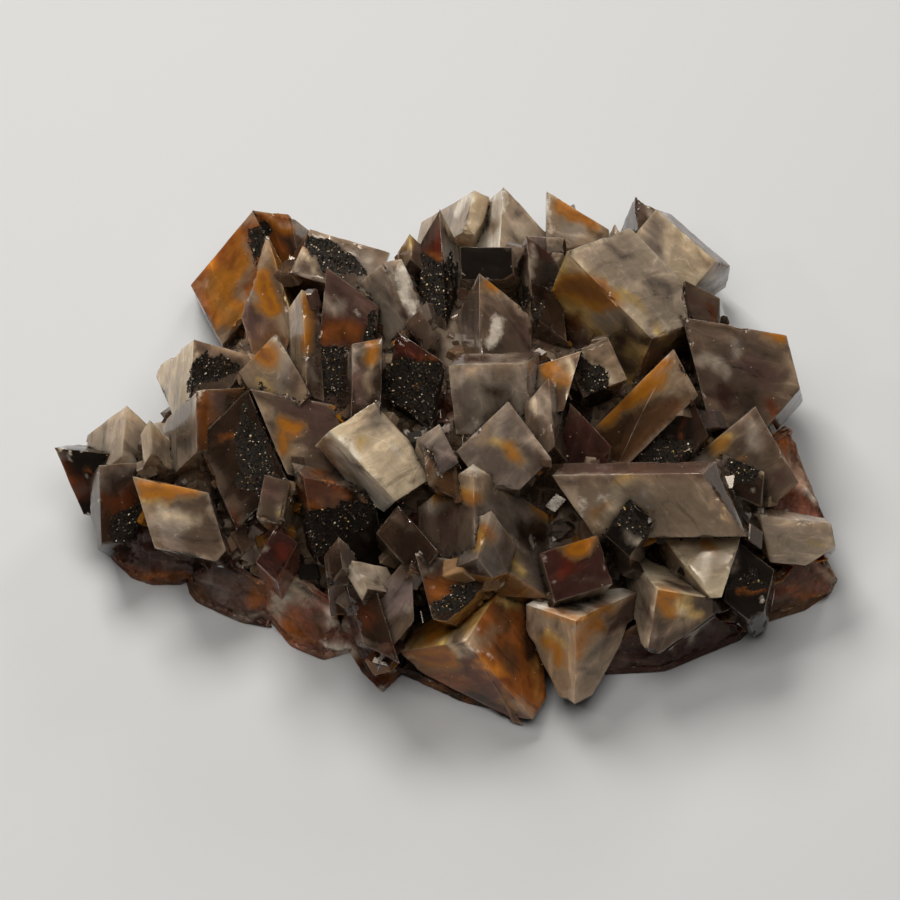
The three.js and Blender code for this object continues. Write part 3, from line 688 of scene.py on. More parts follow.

# %% [markdown]
# ## Marks inside and on the crystals
#
# Orange phantoms, milky clouds and patches of black druse have places of their own. So do the
# white marks, which are painted glare and glints. They are given on the same squared paper as the
# solids: a kind, a width, and points. A width of 0 makes a filled patch, any other a stroke. A mark
# becomes a depth in millimetres, positive inside it. The material turns that depth into a ragged
# border, so the borders stay crisp although the mesh is coarser than they are.

# %% Marks on the drawing
MARK_ROWS = """
orange_shoulder: orange 0 205,262 240,232 243,300 240,325 207,312; amber 14 205,285 222,305 236,322
    rust 12 228,240 222,262; beige 0 210,328 241,322 243,346 222,346; pale 4 196,280 190,288 203,312 213,335
    beige 5 243,240 244,300 241,330; beige 7 240,220 253,212
    coat 0 256,220 249,228 246,246 246,268 262,244 272,234 264,226
brown_shoulder: orange 9 264,218 300,224; coat 0 256,220 249,228 246,246 246,268 262,244 272,234 264,226
    pale 4 256,212 285,215 304,220 312,230; beige 9 309,226 306,242 310,262; mauve 14 292,240 298,255
    smoke 12 282,240 300,262 312,282
smoky_wedge: pale 6 267,237 252,260 245,272; beige 12 266,243 258,262 252,280
    pale 5 270,243 280,268 292,292 300,315; mauve 8 268,264 276,285 282,300; stain 9 278,250 288,272 297,293
    smoke 14 288,250 303,272 312,288; stain 11 262,277 266,292 271,309
    mauve 0 243,309 262,316 275,322 268,342 243,346; beige 14 284,316 292,328; grey 10 250,300 258,306
spotted_cream: stain 16 268,352 272,360; milky 16 284,344 290,360 296,380; beige 12 262,362 262,378
    straw 5 262,388 275,391 285,392; pale 4 246,374 256,387 270,390; stone 12 300,370 306,388
    beige 8 300,350 303,370; coat 3 262,391 290,397 312,400
pale_strip: beige 9 297,302 310,299; milky 9 300,312 300,335; pale 4 291,306 287,328
    stain 3 309,305 308,325 312,350; russet 3 316,305 315,340; smoke 3 311,320 314,360 317,392
    grey 5 314,350 316,385
mauve_tower: mauve 0 330,273 380,309 368,322 322,322 320,290; milky 8 335,314 341,316; white 5 360,315
    pale 2 332,304 331,311; pale 3 328,274 321,284 322,300
    russet 0 321,323 370,322 362,334 352,346 325,352 319,340; rust 12 335,338 350,332
    coat 0 353,346 360,338 372,318 384,312 378,345 354,402 316,398 320,353 340,350
cream_ridge: pale 8 312,234 345,245 385,256; milky 14 370,262 365,275; beige 10 384,262 372,292
    coat 0 313,242 337,246 352,262 367,276 358,283 340,273 322,266 313,252; rust 5 312,248 316,258
    cream 4 310,258 320,274; cream 8 373,290
pale_facets: white 13 401,274 408,296 414,312; grey 7 388,268 396,292 408,316; milky 10 380,285 390,305
    pale 5 384,268 400,264; smoke 4 402,320 412,312
brown_knob: amber 5 402,256 404,262; straw 3 408,244 408,258; mauve 6 411,262 414,270; milky 8 402,240
grey_sliver: stone 8 420,325 432,336
dark_tower: coat 0 418,262 447,260 449,335 428,305 412,274; mauve 8 434,224 428,238 423,252
    red 0 432,240 440,222 446,234 443,258 423,258; rust 4 424,257 442,254; night 5 440,212 451,216 459,229
    grey 7 452,228 454,244; white 2 446,221 448,232; night 8 448,240 452,262; coat 6 452,262 455,300 452,320
white_wing: white 14 455,212 470,200; cream 8 470,235 495,246
summit: beige 12 476,216 490,230; white 12 501,190 500,206 497,214; grey 3 514,202 524,206
    grey 3 520,212 532,217; pale 12 520,225 530,235; milky 8 485,205
black_window: night 0 460,251 509,251 507,279 461,280; pale 3 462,249 508,250
round_grey: stone 0 455,292 470,280 495,281 510,298 500,300 462,300; stain 5 490,289 494,290
    pale 4 500,297 518,310 530,321; smoke 12 516,320 522,335; grey 14 460,310 470,335; smoke 6 482,312 476,335
    white 16 497,326 494,345; milky 7 478,345; mauve 10 515,345 530,345
brown_prow: mauve 14 523,250 520,275; milky 3 514,264 520,284; milky 3 531,254 529,276
    night 0 530,290 540,272 557,258 557,275 545,300 532,305; plum 10 545,262 552,258
    coat 0 508,272 513,272 516,290 532,306 545,300 540,330 515,300
lavender_knob: milky 6 545,242; smoke 2 540,240 541,252
orange_flame: milky 0 552,220 578,224 590,238 570,245 553,236; stain 9 562,203 580,214 594,224
    rust 3 560,202 575,220 588,232; white 7 548,194 547,215 549,232; pale 6 552,192 575,203 600,218
    smoke 9 590,232 603,234; cream 5 596,223 602,226
amber_giant: pale 10 575,250 590,243; grey 7 605,248 625,255; grey 9 650,290 660,305
    milky 0 594,312 625,316 640,335 612,336 596,330; russet 0 545,310 575,315 580,330 540,345 530,335
    mauve 0 535,335 580,330 600,345 590,360 545,360; smoke 14 620,340 640,345; stone 14 612,352 630,372
    cream 0 566,262 580,262 578,278 566,278 562,270; cream 8 630,318 640,325; straw 6 618,300 640,312
    stain 0 560,279 580,277 598,283 616,300 618,312 600,314 580,308 560,302 545,318 548,295
    pale 3 586,243 600,256; cream 3 660,320 665,345; straw 6 655,335 665,348; night 4 567,257 572,265
dark_horn: grey 4 626,200 622,225; plum 12 635,205 632,220; milky 6 645,200 650,206; smoke 3 642,212 646,216
pale_block: milky 18 650,225 645,240; pale 14 665,235 660,255; grey 8 653,240 655,255; cream 22 680,258
    smoke 14 690,225 705,240; stone 10 715,250 722,262; beige 10 700,265; cream 12 705,275 712,285
    white 3 657,211 672,227; white 4 684,240 692,243; pale 3 700,250 711,259
brown_cube: mauve 14 695,308; russet 6 712,305 714,318; smoke 14 685,292
great_slab: stone 20 700,330 730,335; mauve 22 740,360 760,380; smoke 20 715,395 730,400 745,400
    plum 14 708,395 718,402; smoke 8 692,345 690,360 696,380; milky 10 728,345; milky 8 703,362 714,378
    beige 12 784,365 790,385; russet 12 770,405 778,415; stain 4 762,336 775,340
    cream 2 752,330 760,331 779,336
banded_slope: brown 14 605,430 620,420; smoke 10 640,402 620,425; beige 0 650,378 668,362 684,392 650,398
    milky 7 660,355 640,370 626,382; stain 4 660,365 645,378 625,398 605,412
    stain 6 655,380 635,398 612,413 598,422; pale 4 668,354 684,392; coat 3 671,358 682,376 692,396
    white 3 668,363
red_streaked: plum 0 655,400 685,395 692,400 690,420 650,420; night 0 645,420 690,418 690,450 640,450
    rust 4 652,400 640,425; russet 4 676,398 678,435; rust 6 658,412 668,414; white 3 660,419
    coat 0 628,455 640,435 690,440 690,466 650,466; white 3 649,452
grey_hood: grey 12 725,425; milky 14 745,430 750,445; stone 12 775,455; mauve 12 770,475; milky 10 690,458
    straw 6 706,447 715,441; stain 3 715,443 708,447; amber 3 728,455 742,463; pale 4 716,421 742,410
black_box: coat 0 716,464 745,470 752,473 748,488 735,486 718,484; grey 4 714,455 730,460 753,470
    grey 5 714,455 715,484; straw 3 708,470 703,476; cream 2 738,462 752,471 754,478; white 3 746,491
glassy_wedge: milky 8 727,503; smoke 5 745,508; grey 8 708,508; white 3 726,510 733,503
pink_shard: pale 30 780,525; beige 0 738,505 750,515 760,558 738,530; milky 3 745,515 800,518
    straw 3 818,541 800,544; cream 5 822,538; white 3 752,513 758,511; russet 8 790,500
dark_gable: night 0 726,540 745,545 758,580 716,590; grey 2 728,545 724,570
    coat 0 742,562 750,566 758,578 735,588 722,588; rust 4 733,590 752,580; white 3 752,594
window_crystal: beige 0 585,352 603,341 612,358 622,382 612,396 602,378; smoke 6 608,352 615,372
    coat 0 577,356 583,358 601,378 610,398 603,410 592,418 584,405 575,390 573,372
    cream 3 577,356 600,378 612,398
orange_edge: milky 12 535,385; stone 8 560,392 566,410; amber 8 565,388 578,410; pale 4 530,370 560,358 576,355
    stain 10 545,368 553,374 560,380; straw 5 556,374 568,372; cream 6 566,362 570,378 566,390
    straw 5 566,400 568,404
plum_face: plum 20 565,440; smoke 10 570,412; night 6 556,420
milky_round: pale 24 538,395 545,415; cream 8 530,405; stone 5 528,425 536,440 545,455; milky 4 520,385 534,383
    smoke 2 551,410; white 2 540,430 542,434
swirled_block: milky 0 445,370 500,362 524,372 520,385 470,392; grey 10 460,372; beige 12 505,372
    grey 16 460,400 465,420; stone 10 448,420 455,445; milky 10 482,415 470,435
    smoke 0 478,388 498,390 501,405 488,416 481,400; straw 4 443,378 446,398; pale 5 452,382 456,398
    cream 4 459,379 468,382; white 3 447,367 448,372; white 5 473,418 476,427; white 4 455,432 457,440
grey_gable: beige 14 485,440; milky 14 500,420 505,435; smoke 12 528,448 530,460; beige 6 490,425 478,442
    pale 5 522,438 540,452; straw 8 498,445 509,452; stain 4 508,448 511,456; stone 3 498,404 508,404
red_shield: plum 0 388,340 400,334 420,345 430,352 420,362 388,362; red 10 405,350 415,356
    coat 0 385,366 440,360 444,372 435,425 400,428 385,395; milky 2 386,345 384,380; rust 6 426,360
mauve_post: mauve 12 365,375 366,400; milky 3 358,350 357,375; smoke 5 380,350 381,375; beige 4 372,352 378,390
    pale 5 358,344 384,341; stain 4 375,345 373,360
cream_block: beige 0 318,447 332,436 345,458 372,490 360,488; white 10 350,440 360,455; milky 8 385,410 392,430
    white 6 395,448 400,455; grey 4 355,455 370,464; cream 12 408,480; stone 5 415,485; beige 3 388,405 415,440
    straw 8 363,438 368,434
olive_slope: mauve 0 295,400 320,402 338,425 318,446 300,440 292,420; beige 8 280,410 270,405
    amber 6 268,430 278,455; stone 10 283,402; beige 8 300,450 285,460; smoke 6 325,455
    pale 5 255,392 258,410 266,430 276,455; white 2 256,394 262,410; stain 5 290,422 303,430
    stain 4 289,432 290,446
silver_facet: milky 0 418,440 440,425 442,445 425,445; grey 6 445,435 450,450; pale 2 425,446 452,460
black_pocket: beige 8 432,478; coat 0 425,448 437,450 448,462 440,474 428,472 423,460; pale 2 418,447 422,470
olive_body: beige 0 436,484 455,462 490,470 512,466 516,482 505,496 470,486 445,490; mauve 14 440,510 465,506
    stone 0 514,468 545,478 562,500 552,516 530,508 518,490; milky 8 425,500 435,497; grey 10 490,500 525,504
    cream 6 500,478 508,486; stain 7 436,490 452,487 476,495; stain 5 490,466 503,470 510,482
    straw 6 440,483 470,482; stain 6 534,498 536,506 545,513; smoke 8 470,508 480,505
    white 0 457,472 465,464 483,465 487,475; coat 3 466,462 478,457 488,453; pale 3 455,476 487,479
    night 5 440,470 448,462; umber 0 515,519 565,520 562,545 522,538; beige 14 512,552 520,578
    straw 6 514,560 520,572; plum 12 548,560 548,585; mauve 12 450,530 440,540; white 3 530,532 531,541
    pale 3 500,545 520,541; rust 8 505,590 515,600
cream_gable: mauve 0 546,473 560,463 690,466 692,474 620,478 560,478; beige 24 650,490 665,500
    pale 14 565,490 570,500; milky 8 640,495; pale 10 690,480; brown 8 572,518 582,524
    cream 0 600,486 620,484 612,505 604,515 596,500; amber 6 596,503 598,512; straw 5 603,480 618,482
    milky 2 552,472 600,474; white 7 578,498 579,512; white 5 592,495 603,494; cream 6 600,522
cream_triangle: cream 20 680,570 700,575; pale 10 680,530 720,525; milky 5 660,525 700,515
    stain 4 695,538 706,548; straw 4 690,540 705,538; night 2 687,557 689,559
black_tooth: coat 0 622,498 640,512 647,530 622,530 600,528 608,512; coat 0 640,528 655,530 655,545 645,545
    cream 3 605,515 598,522; milky 6 618,537 632,537
garnet_step: red 24 565,560; plum 14 595,560; smoke 6 580,575 600,578
    stain 0 560,545 575,533 588,536 583,545 570,549; pale 3 588,532 590,538; white 3 541,556; white 2 552,577
grey_fan: grey 14 450,540 470,545; mauve 10 500,540; milky 14 485,518 492,524; lilac 8 480,548
    pale 3 463,518 478,510 492,507; straw 5 464,531 480,537; stain 4 466,532 476,535; stain 4 485,529 489,533
    stone 6 505,525 512,540
amber_pyramid: rust 12 410,635 440,625 470,605 495,585; milky 0 495,560 520,552 528,575 512,590 500,580
    stone 6 520,590 524,606; umber 8 522,625 532,660; brown 10 500,605 500,620; brown 12 500,645 510,660
    umber 0 400,662 430,668 460,668 490,690 520,710 450,695 410,675; rust 14 440,672 470,682
    orange 10 480,660 500,672; russet 12 470,672 505,680; amber 10 505,690 520,700; amber 4 530,660 538,690
    beige 5 520,690 532,705; straw 8 505,575 508,600; stain 8 430,628 460,612 490,586
    stain 0 410,650 425,643 455,645 455,660 425,662
    beige 0 452,635 460,622 478,618 492,625 485,640 470,645 455,645; cream 6 452,640 458,644
    cream 4 410,654 420,658; white 4 401,645 414,642; white 3 470,640 485,645 490,650; night 5 462,637
    white 4 480,619; white 3 464,632
shield_pyramid: mauve 0 590,610 630,590 632,620 600,640 588,625; pale 10 530,610 545,618; beige 16 565,670
    smoke 8 560,598 585,595; stone 12 600,640; beige 6 564,625 566,655; straw 4 543,628 552,640
    stain 4 547,606 560,608 575,612; stain 5 575,613 590,608 604,600; stain 8 592,620 580,630 573,645
    stain 3 543,634 550,642 554,655; pale 4 600,618 606,614; pale 6 565,690 575,690; pale 3 626,628 631,612
corner_pyramid: stone 12 640,600 645,620; mauve 10 670,570 690,582; beige 10 680,612 665,622; grey 8 650,630
    straw 8 665,605 690,605; cream 6 668,608; milky 6 630,570 636,580; white 6 636,563 644,572
    stain 4 656,586 668,592; stain 4 655,595 662,607; white 5 638,560 642,566
brown_hollow: smoke 0 418,552 480,560 478,578 440,575 420,570; grey 3 420,565 450,560 470,568
    rust 0 425,575 450,572 455,582 445,595 430,595; white 2 431,582 434,584
    coat 0 455,582 478,578 470,592 450,605 432,612 432,600; pale 3 414,552 416,580 422,600 430,610
    white 2 415,550 420,590 430,605; white 3 433,582
grey_blade: lilac 24 400,590; mauve 8 405,565; milky 4 405,605
root_red: russet 20 370,610; mauve 10 355,585; red 12 385,650; pale 1 360,632 385,645 402,668
pale_nub: milky 12 375,572; mauve 5 382,580; white 8 355,562 362,575
glassy_tip: grey 6 340,534; smoke 12 345,550; coat 12 330,572; white 3 327,565 328,570
dark_steps: stone 0 298,463 334,458 345,468 372,488 340,482 310,475; grey 5 340,470 360,485
    russet 0 302,480 318,476 335,482 350,495 348,506 320,505 300,500; rust 6 312,500 322,505
    rust 8 340,497 348,502; rust 5 325,470 335,476; white 4 303,473 301,480
    coat 0 300,506 350,508 378,492 375,530 325,560 310,540; coat 5 352,485 372,490
mauve_sliver: mauve 16 275,490; pale 8 288,508 292,515; straw 3 292,512; white 3 288,504
garnet_wedge: red 8 285,540 292,552; milky 4 262,542 272,545
smoke_sliver: plum 10 425,520; stone 4 395,505 408,528; coat 6 385,525
left_tip: russet 14 72,468 82,490; mauve 8 84,488; night 5 80,448 110,450 135,456; rust 4 94,467; grey 8 68,455
    white 3 62,452 70,446 76,450 78,458; white 4 91,475
grey_pillar: umber 6 100,505; grey 8 108,470 104,490; grey 7 112,468 135,467 160,462; mauve 8 125,485
    russet 0 112,492 142,488 146,505 138,512 118,515; coat 0 120,518 150,505 160,540 140,542 125,535
    milky 3 92,495 90,512; white 3 107,474; white 4 105,500 109,498; white 3 106,499; white 3 98,508
    white 3 162,543
orange_tile: milky 0 155,508 185,505 200,525 175,540 165,530; cream 10 175,512 200,515; beige 10 160,505
    stone 6 195,538; grey 8 172,540 182,545; straw 3 155,498 175,500; stain 4 148,483 170,485 200,490
    stain 4 152,492 165,494 180,492; pale 4 142,477 175,480 215,491; pale 4 216,495 230,530
    pale 2 148,500 160,540
ragged_cream: pale 14 120,435; beige 8 150,440; milky 12 130,420; cream 5 150,454; white 3 128,406 135,406
cream_peg: milky 14 160,448; pale 6 157,422 170,440
framed_cream: pale 10 168,400 170,375; stone 4 165,390 164,410; white 8 172,415 175,430
    cream 10 175,365 190,352; cream 4 205,352 200,372 194,385 192,405; straw 4 190,390 184,410 182,430
    beige 6 222,350 245,365; coat 0 210,351 216,351 228,366 240,378 225,385 203,392 197,400 196,385 205,370
rust_window: grey 12 195,430 190,445; mauve 10 180,448; mauve 0 212,395 240,388 238,405 225,415 215,405
    rust 0 206,405 225,412 238,432 228,452 215,445 205,430; night 6 244,400 242,430
    white 3 204,393 214,390 228,385; white 4 205,395 206,405
black_slope: stone 10 208,450 225,480 250,520; rust 6 228,440 236,436; russet 12 235,510 245,525
    coat 4 206,462 226,496 256,540; coat 0 236,440 255,395 262,430 290,470 290,480 262,500 250,490 240,460
"""


def read_marks(text):
    """Each name's marks as (kind, width, points), in the order they are laid down."""
    marks = {}
    for line in text.strip().splitlines():
        if ":" in line:
            name, line = line.split(":")
            marks[name] = []
        for mark in line.split(";"):
            kind, width, *points = mark.split()
            marks[name].append((kind, float(width), [pair(point) for point in points]))
    return marks


MARKS = read_marks(MARK_ROWS)
print("marks:", sum(len(marks) for marks in MARKS.values()))


def segment_distance(at, a, b):
    a, b = np.array(a, float), np.array(b, float)
    run = b - a
    share = np.clip((at - a) @ run / max(1e-9, run @ run), 0, 1)
    return np.linalg.norm(at - a - share[:, None] * run, axis=1)


def mark_depth(at, width, points):
    """Millimetres inside a stroke of that width, or inside a patch where the width is 0."""
    if width:
        pairs = list(zip(points, points[1:])) or [(points[0], points[0])]
        distance = np.min([segment_distance(at, a, b) for a, b in pairs], axis=0)
        return (width / 2 - distance) * SQUARE
    pairs = list(zip(points, points[1:] + points[:1]))
    distance = np.min([segment_distance(at, a, b) for a, b in pairs], axis=0)
    inside = np.zeros(len(at), bool)
    for (ax, ay), (bx, by) in pairs:
        crosses = (ay > at[:, 1]) != (by > at[:, 1])
        inside ^= crosses & (at[:, 0] < ax + (at[:, 1] - ay) * (bx - ax) / (by - ay if by != ay else 1))
    return np.where(inside, distance, -distance) * SQUARE


def soft_step(value, low, high):
    share = np.clip((value - low) / (high - low), 0, 1)
    return share * share * (3 - 2 * share)


# %% Paint the corners
NONE = -6.0  # millimetres outside any mark
PALE_BORDER_START = 1.6  # millimetres further in than the border's width
FULL_BLUR = 1.7
tone = np.zeros((len(spots), 3))
pale = np.full(len(spots), NONE)
stain = np.full(len(spots), NONE)
coat = np.full(len(spots), NONE)
glare = np.full(len(spots), NONE)
glass = np.zeros(len(spots))
# The white marks go into the glare field: painted glare and glints.
FIELDS = {"pale": pale, "stain": stain, "coat": coat, "white": glare}
HALO = 3  # squares that a stain reaches past its stroke
half_astray = 0.6 * drawn_at + 0.4 * sheet
for k, body in enumerate(BODIES):
    mine = np.nonzero(spot_owner == k)[0]
    row = LOOKS[body["name"]]
    # Each side's tone includes painted light and shade for that side.
    tone[mine] = np.array([paint(name) for name in row["side_tones_with_painted_light"]])[spot_side[mine]]
    pale[mine] = row["rim"] - PALE_BORDER_START - rim[mine]
    # The druse coat also starts where the next crystal meets this one: partly druse, partly painted shade in
    # the seams.
    coat[mine] = -room[mine]
    glass[mine] = row["glass"]
    for kind, width, points in MARKS.get(body["name"], []):
        at = half_astray[mine] if kind in ("white", "stain") else sheet[mine]
        depth = mark_depth(at, width + (HALO if kind == "stain" and width else 0), points)
        if kind in FIELDS:
            FIELDS[kind][mine] = np.maximum(FIELDS[kind][mine], depth)
        else:
            blur = min(FULL_BLUR, 0.5 + 0.1 * width) if width else FULL_BLUR
            share = soft_step(depth, -blur, 0.85 * blur)[:, None]
            tone[mine] += (paint(kind) - tone[mine]) * share
in_gap = spot_owner == GAP
tone[in_gap] = paint("stone")
mottled, dusted = [cloud(places, 7.0, seed)[corners].reshape(-1)[in_gap] for seed in (21, 22)]
tone[in_gap] += (paint("beige") - tone[in_gap]) * soft_step(mottled, 0.35, 0.55)[:, None]
tone[in_gap] += (paint("rose") - tone[in_gap]) * soft_step(mottled, 0.6, 0.7)[:, None]
# The coat in the gaps is partly druse, partly painted shade in the gaps.
coat[in_gap] = (dusted - 0.63) * 9
print("coated share of the corners:", round(float((coat > 0).mean()), 3))

# %% [markdown]
# ## Growth relief
#
# No natural face is dead flat. Broad, shallow swells bend the reflections, and the coated faces are
# rough. The relief only goes inward, so the specimen keeps its size.

# %% Swells and roughness
SWELL = 0.22
COATED_ROUGHNESS = 0.22
EDGE_WEAR = 0.2
CHIPS = 0.6

coat_here = np.full(len(places), NONE)
np.maximum.at(coat_here, corners.ravel(), coat)

depth = SWELL * cloud(places, 5.0, 1)
depth += COATED_ROUGHNESS * cloud(places, 1.7, 2) * soft_step(coat_here, -0.3, 0.5)
edge_here = np.full(len(places), FAR)
np.minimum.at(edge_here, corners.ravel(), rim)
at_edge = soft_step(-edge_here, -0.6, -0.1)
chipped = CHIPS * soft_step(cloud(places, 6.0, 4), 0.62, 0.74)
depth += at_edge * (EDGE_WEAR * cloud(places, 3.5, 3) ** 2 + chipped)
inward = np.array([v.normal for v in crust.verts]) * depth[:, None]
for vert, move in zip(crust.verts, inward):
    vert.co -= Vector(move)
print("deepest relief, mm:", round(float(depth.max()), 2))

# %% Make the crystals' mesh
def piece_from(shape, name):
    bmesh.ops.scale(shape, vec=(MM, MM, MM), verts=shape.verts)
    mesh = bpy.data.meshes.new(name)
    shape.to_mesh(mesh)
    shape.free()
    piece = bpy.data.objects.new(name, mesh)
    bpy.context.scene.collection.objects.link(piece)
    return piece


def set_corner_value(mesh, name, values):
    layer = mesh.attributes.new(name, "FLOAT", "CORNER")
    layer.data.foreach_set("value", values.astype(np.float32))


def set_corner_colour(mesh, name, colours):
    rgba = np.concatenate([colours, np.ones((len(colours), 1))], axis=1)
    layer = mesh.attributes.new(name, "FLOAT_COLOR", "CORNER")
    layer.data.foreach_set("color", rgba.astype(np.float32).ravel())


SWELL_SHARP = math.radians(24)
crystals = piece_from(crust, "calcite_crystals")
skin = crystals.data
set_corner_colour(skin, "tone", tone)
for name, values in (("rim", rim), ("room", room), ("pale", pale), ("stain", stain), ("coat", coat),
                     ("glare", glare), ("glass", glass)):
    set_corner_value(skin, name, values)
skin.uv_layers.new(name="growth").data.foreach_set("uv", growth.astype(np.float32).ravel())
skin.shade_smooth()
skin.set_sharp_from_angle(angle=SWELL_SHARP)
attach(crystals, "root")
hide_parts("crystals")
print("triangles of the crystals:", len(skin.polygons))

# %% [markdown]
# ## Node helpers
#
# Procedural finishes are wired from a handful of nodes, so each kind gets a short helper. The
# textures use Object coordinates in metres, and a scale of 1000 therefore means grains of about a
# millimetre.

# %% Helpers for node trees
class Wiring:
    """A material's node tree, with one short call for each kind of node."""

    def __init__(self, name):
        self.material = bpy.data.materials.new(name)
        self.material.use_nodes = True
        self.nodes = self.material.node_tree.nodes
        self.links = self.material.node_tree.links
        self.surface = self.nodes["Principled BSDF"]
        self.where = self.nodes.new("ShaderNodeTexCoord").outputs["Object"]

    def feed(self, socket, value):
        if isinstance(value, bpy.types.NodeSocket):
            self.links.new(value, socket)
        else:
            socket.default_value = value

    def finish(self, values):
        """Sets the surface's own inputs, by name."""
        for name, value in values.items():
            self.feed(self.surface.inputs[name], value)

    def value(self, name, output="Fac"):
        node = self.nodes.new("ShaderNodeAttribute")
        node.attribute_name = name
        return node.outputs[output]

    def colour(self, name):
        return self.value(name, "Color")

    def math(self, operation, a, b=0.0, c=0.0):
        node = self.nodes.new("ShaderNodeMath")
        node.operation = operation
        for socket, number in zip(node.inputs, (a, b, c)):
            self.feed(socket, number)
        return node.outputs[0]

    def times(self, a, b):
        return self.math("MULTIPLY", a, b)

    def frayed(self, name, by, reach, middle=0.5):
        """The depth in an attribute, moved in and out by noise."""
        return self.math("MULTIPLY_ADD", self.math("SUBTRACT", by, middle), reach, self.value(name))

    def shaded(self, colour, factor):
        return self.mix(1.0, colour, factor, "MULTIPLY")

    def noise(self, scale, detail=4.0, roughness=0.55, distortion=0.0, vector=None):
        node = self.nodes.new("ShaderNodeTexNoise")
        settings = dict(Vector=vector or self.where, Scale=scale, Detail=detail, Roughness=roughness,
                        Distortion=distortion)
        for socket, setting in settings.items():
            self.feed(node.inputs[socket], setting)
        return node.outputs[0]

    def cells(self, scale, feature="F1", output="Distance", warp=0.0):
        node = self.nodes.new("ShaderNodeTexVoronoi")
        node.feature = feature
        self.feed(node.inputs["Vector"], self.warped(warp) if warp else self.where)
        self.feed(node.inputs["Scale"], scale)
        return node.outputs[output]

    def warped(self, reach):
        """The place, pushed about by noise by at most that many metres."""
        bend = self.nodes.new("ShaderNodeTexNoise")
        self.links.new(self.where, bend.inputs["Vector"])
        bend.inputs["Scale"].default_value = 120
        push = self.nodes.new("ShaderNodeVectorMath")
        push.operation = "MULTIPLY_ADD"
        self.links.new(bend.outputs["Color"], push.inputs[0])
        push.inputs[1].default_value = (reach, reach, reach)
        self.links.new(self.where, push.inputs[2])
        return push.outputs["Vector"]

    def stretched(self, name, scale):
        """A UV map's coordinates, scaled differently along its two directions."""
        source = self.nodes.new("ShaderNodeUVMap")
        source.uv_map = name
        node = self.nodes.new("ShaderNodeMapping")
        self.links.new(source.outputs["UV"], node.inputs["Vector"])
        node.inputs["Scale"].default_value = scale
        return node.outputs["Vector"]

    def step(self, value, low, high, start=0.0, end=1.0):
        node = self.nodes.new("ShaderNodeMapRange")
        node.interpolation_type = "SMOOTHSTEP"
        for socket, number in zip(node.inputs, (value, low, high, start, end)):
            self.feed(socket, number)
        return node.outputs[0]

    def mix(self, share, a, b, blend="MIX"):
        node = self.nodes.new("ShaderNodeMix")
        node.data_type = "RGBA"
        node.blend_type = blend
        self.feed(node.inputs["Factor"], share)
        self.feed(node.inputs[6], a)
        self.feed(node.inputs[7], b)
        return node.outputs[2]

    def ramp(self, value, stops):
        node = self.nodes.new("ShaderNodeValToRGB")
        self.feed(node.inputs["Fac"], value)
        ramp = node.color_ramp
        while len(ramp.elements) < len(stops):
            ramp.elements.new(0.5)
        for element, (place, colour) in zip(ramp.elements, stops):
            element.position = place
            element.color = colour
        return node.outputs["Color"]

    def bump(self, height, strength, distance, below=None):
        node = self.nodes.new("ShaderNodeBump")
        self.feed(node.inputs["Height"], height)
        self.feed(node.inputs["Strength"], strength)
        self.feed(node.inputs["Distance"], distance)
        if below is not None:
            self.feed(node.inputs["Normal"], below)
        return node.outputs["Normal"]


def solid(name):
    return (*paint(name), 1.0)


# %% [markdown]
# ## Zoned calcite
#
# The light goes a few millimetres into this calcite and comes back tinted, so its colour is a body
# colour with cloudy zoning, not a coat of paint. Pale borders, orange phantoms and black druse are
# laid over it in that order. Painted light and shade go in as well: painted glare, a painted glow at
# the rims, painted glints, pale edge lines that are partly painted highlight, and painted shade close
# to the next crystal. The depth of each mark is shifted by fine noise before it is cut off, which
# gives ragged margins like those of real growth zones.

# %% Calcite: ragged borders of the marks
calcite = Wiring("zoned_calcite")
broad = calcite.noise(130, 5, 0.6, 0.6)
wisps = calcite.noise(420, 6, 0.65, 1.2)
ragged = calcite.noise(1100, 5, 0.7)

coated = calcite.step(calcite.frayed("coat", ragged, 2.4), -0.12, 0.12)
patchy = calcite.step(calcite.noise(90, 4, 0.6, 0.4), 0.36, 0.6, 0.15, 1.0)
paled = calcite.times(calcite.step(calcite.frayed("pale", wisps, 2.0), -1.2, 1.0), patchy)
stain_depth = calcite.frayed("stain", wisps, 2.2)
stained = calcite.step(stain_depth, -1.8, 1.0)
glare_depth = calcite.frayed("glare", calcite.math("ADD", ragged, wisps), 2.0, middle=1.06)
glaring = calcite.step(glare_depth, -0.5, 0.9, 0.0, 0.8)

# %% Calcite: the body colour, with painted glare
# Painted glare: white laid over the body colour where the white marks are.
base = calcite.mix(glaring, calcite.colour("tone"), solid("white"))
uneven = calcite.math("ADD", calcite.times(broad, 0.65), calcite.times(wisps, 0.35))
swirls = calcite.noise(1.0, 3, 0.55, 0.8, vector=calcite.stretched("growth", (0.12, 0.3, 1)))
zones = calcite.math("MULTIPLY_ADD", broad, 9.0, calcite.times(calcite.value("rim"), 3.6))
SHADES = {
    "clouds": calcite.step(uneven, 0.34, 0.66, 0.8, 1.22),
    "milky wisps": calcite.step(swirls, 0.5, 0.74, 1.0, 1.65),
    "clear streaks": calcite.step(swirls, 0.26, 0.48, 0.55, 1.0),
    "growth lines": calcite.step(calcite.math("SINE", zones), 0.2, 1.0, 1.0, 1.05),
    # Painted glow: brighter near the edges of each side and darker further in, as if lit through the thin
    # edges.
    "painted glow at the rims": calcite.step(calcite.frayed("rim", broad, 10.0), 0.0, 5.0, 1.16, 0.86),
}
for shade in SHADES.values():
    base = calcite.shaded(base, shade)
print("layers of shade:", list(SHADES))

# %% Calcite: borders, phantoms, cracks, wear, painted glints, painted edge highlights and painted shade
BORDER_SHARE = 0.6
PHANTOM_SHARE = 0.82

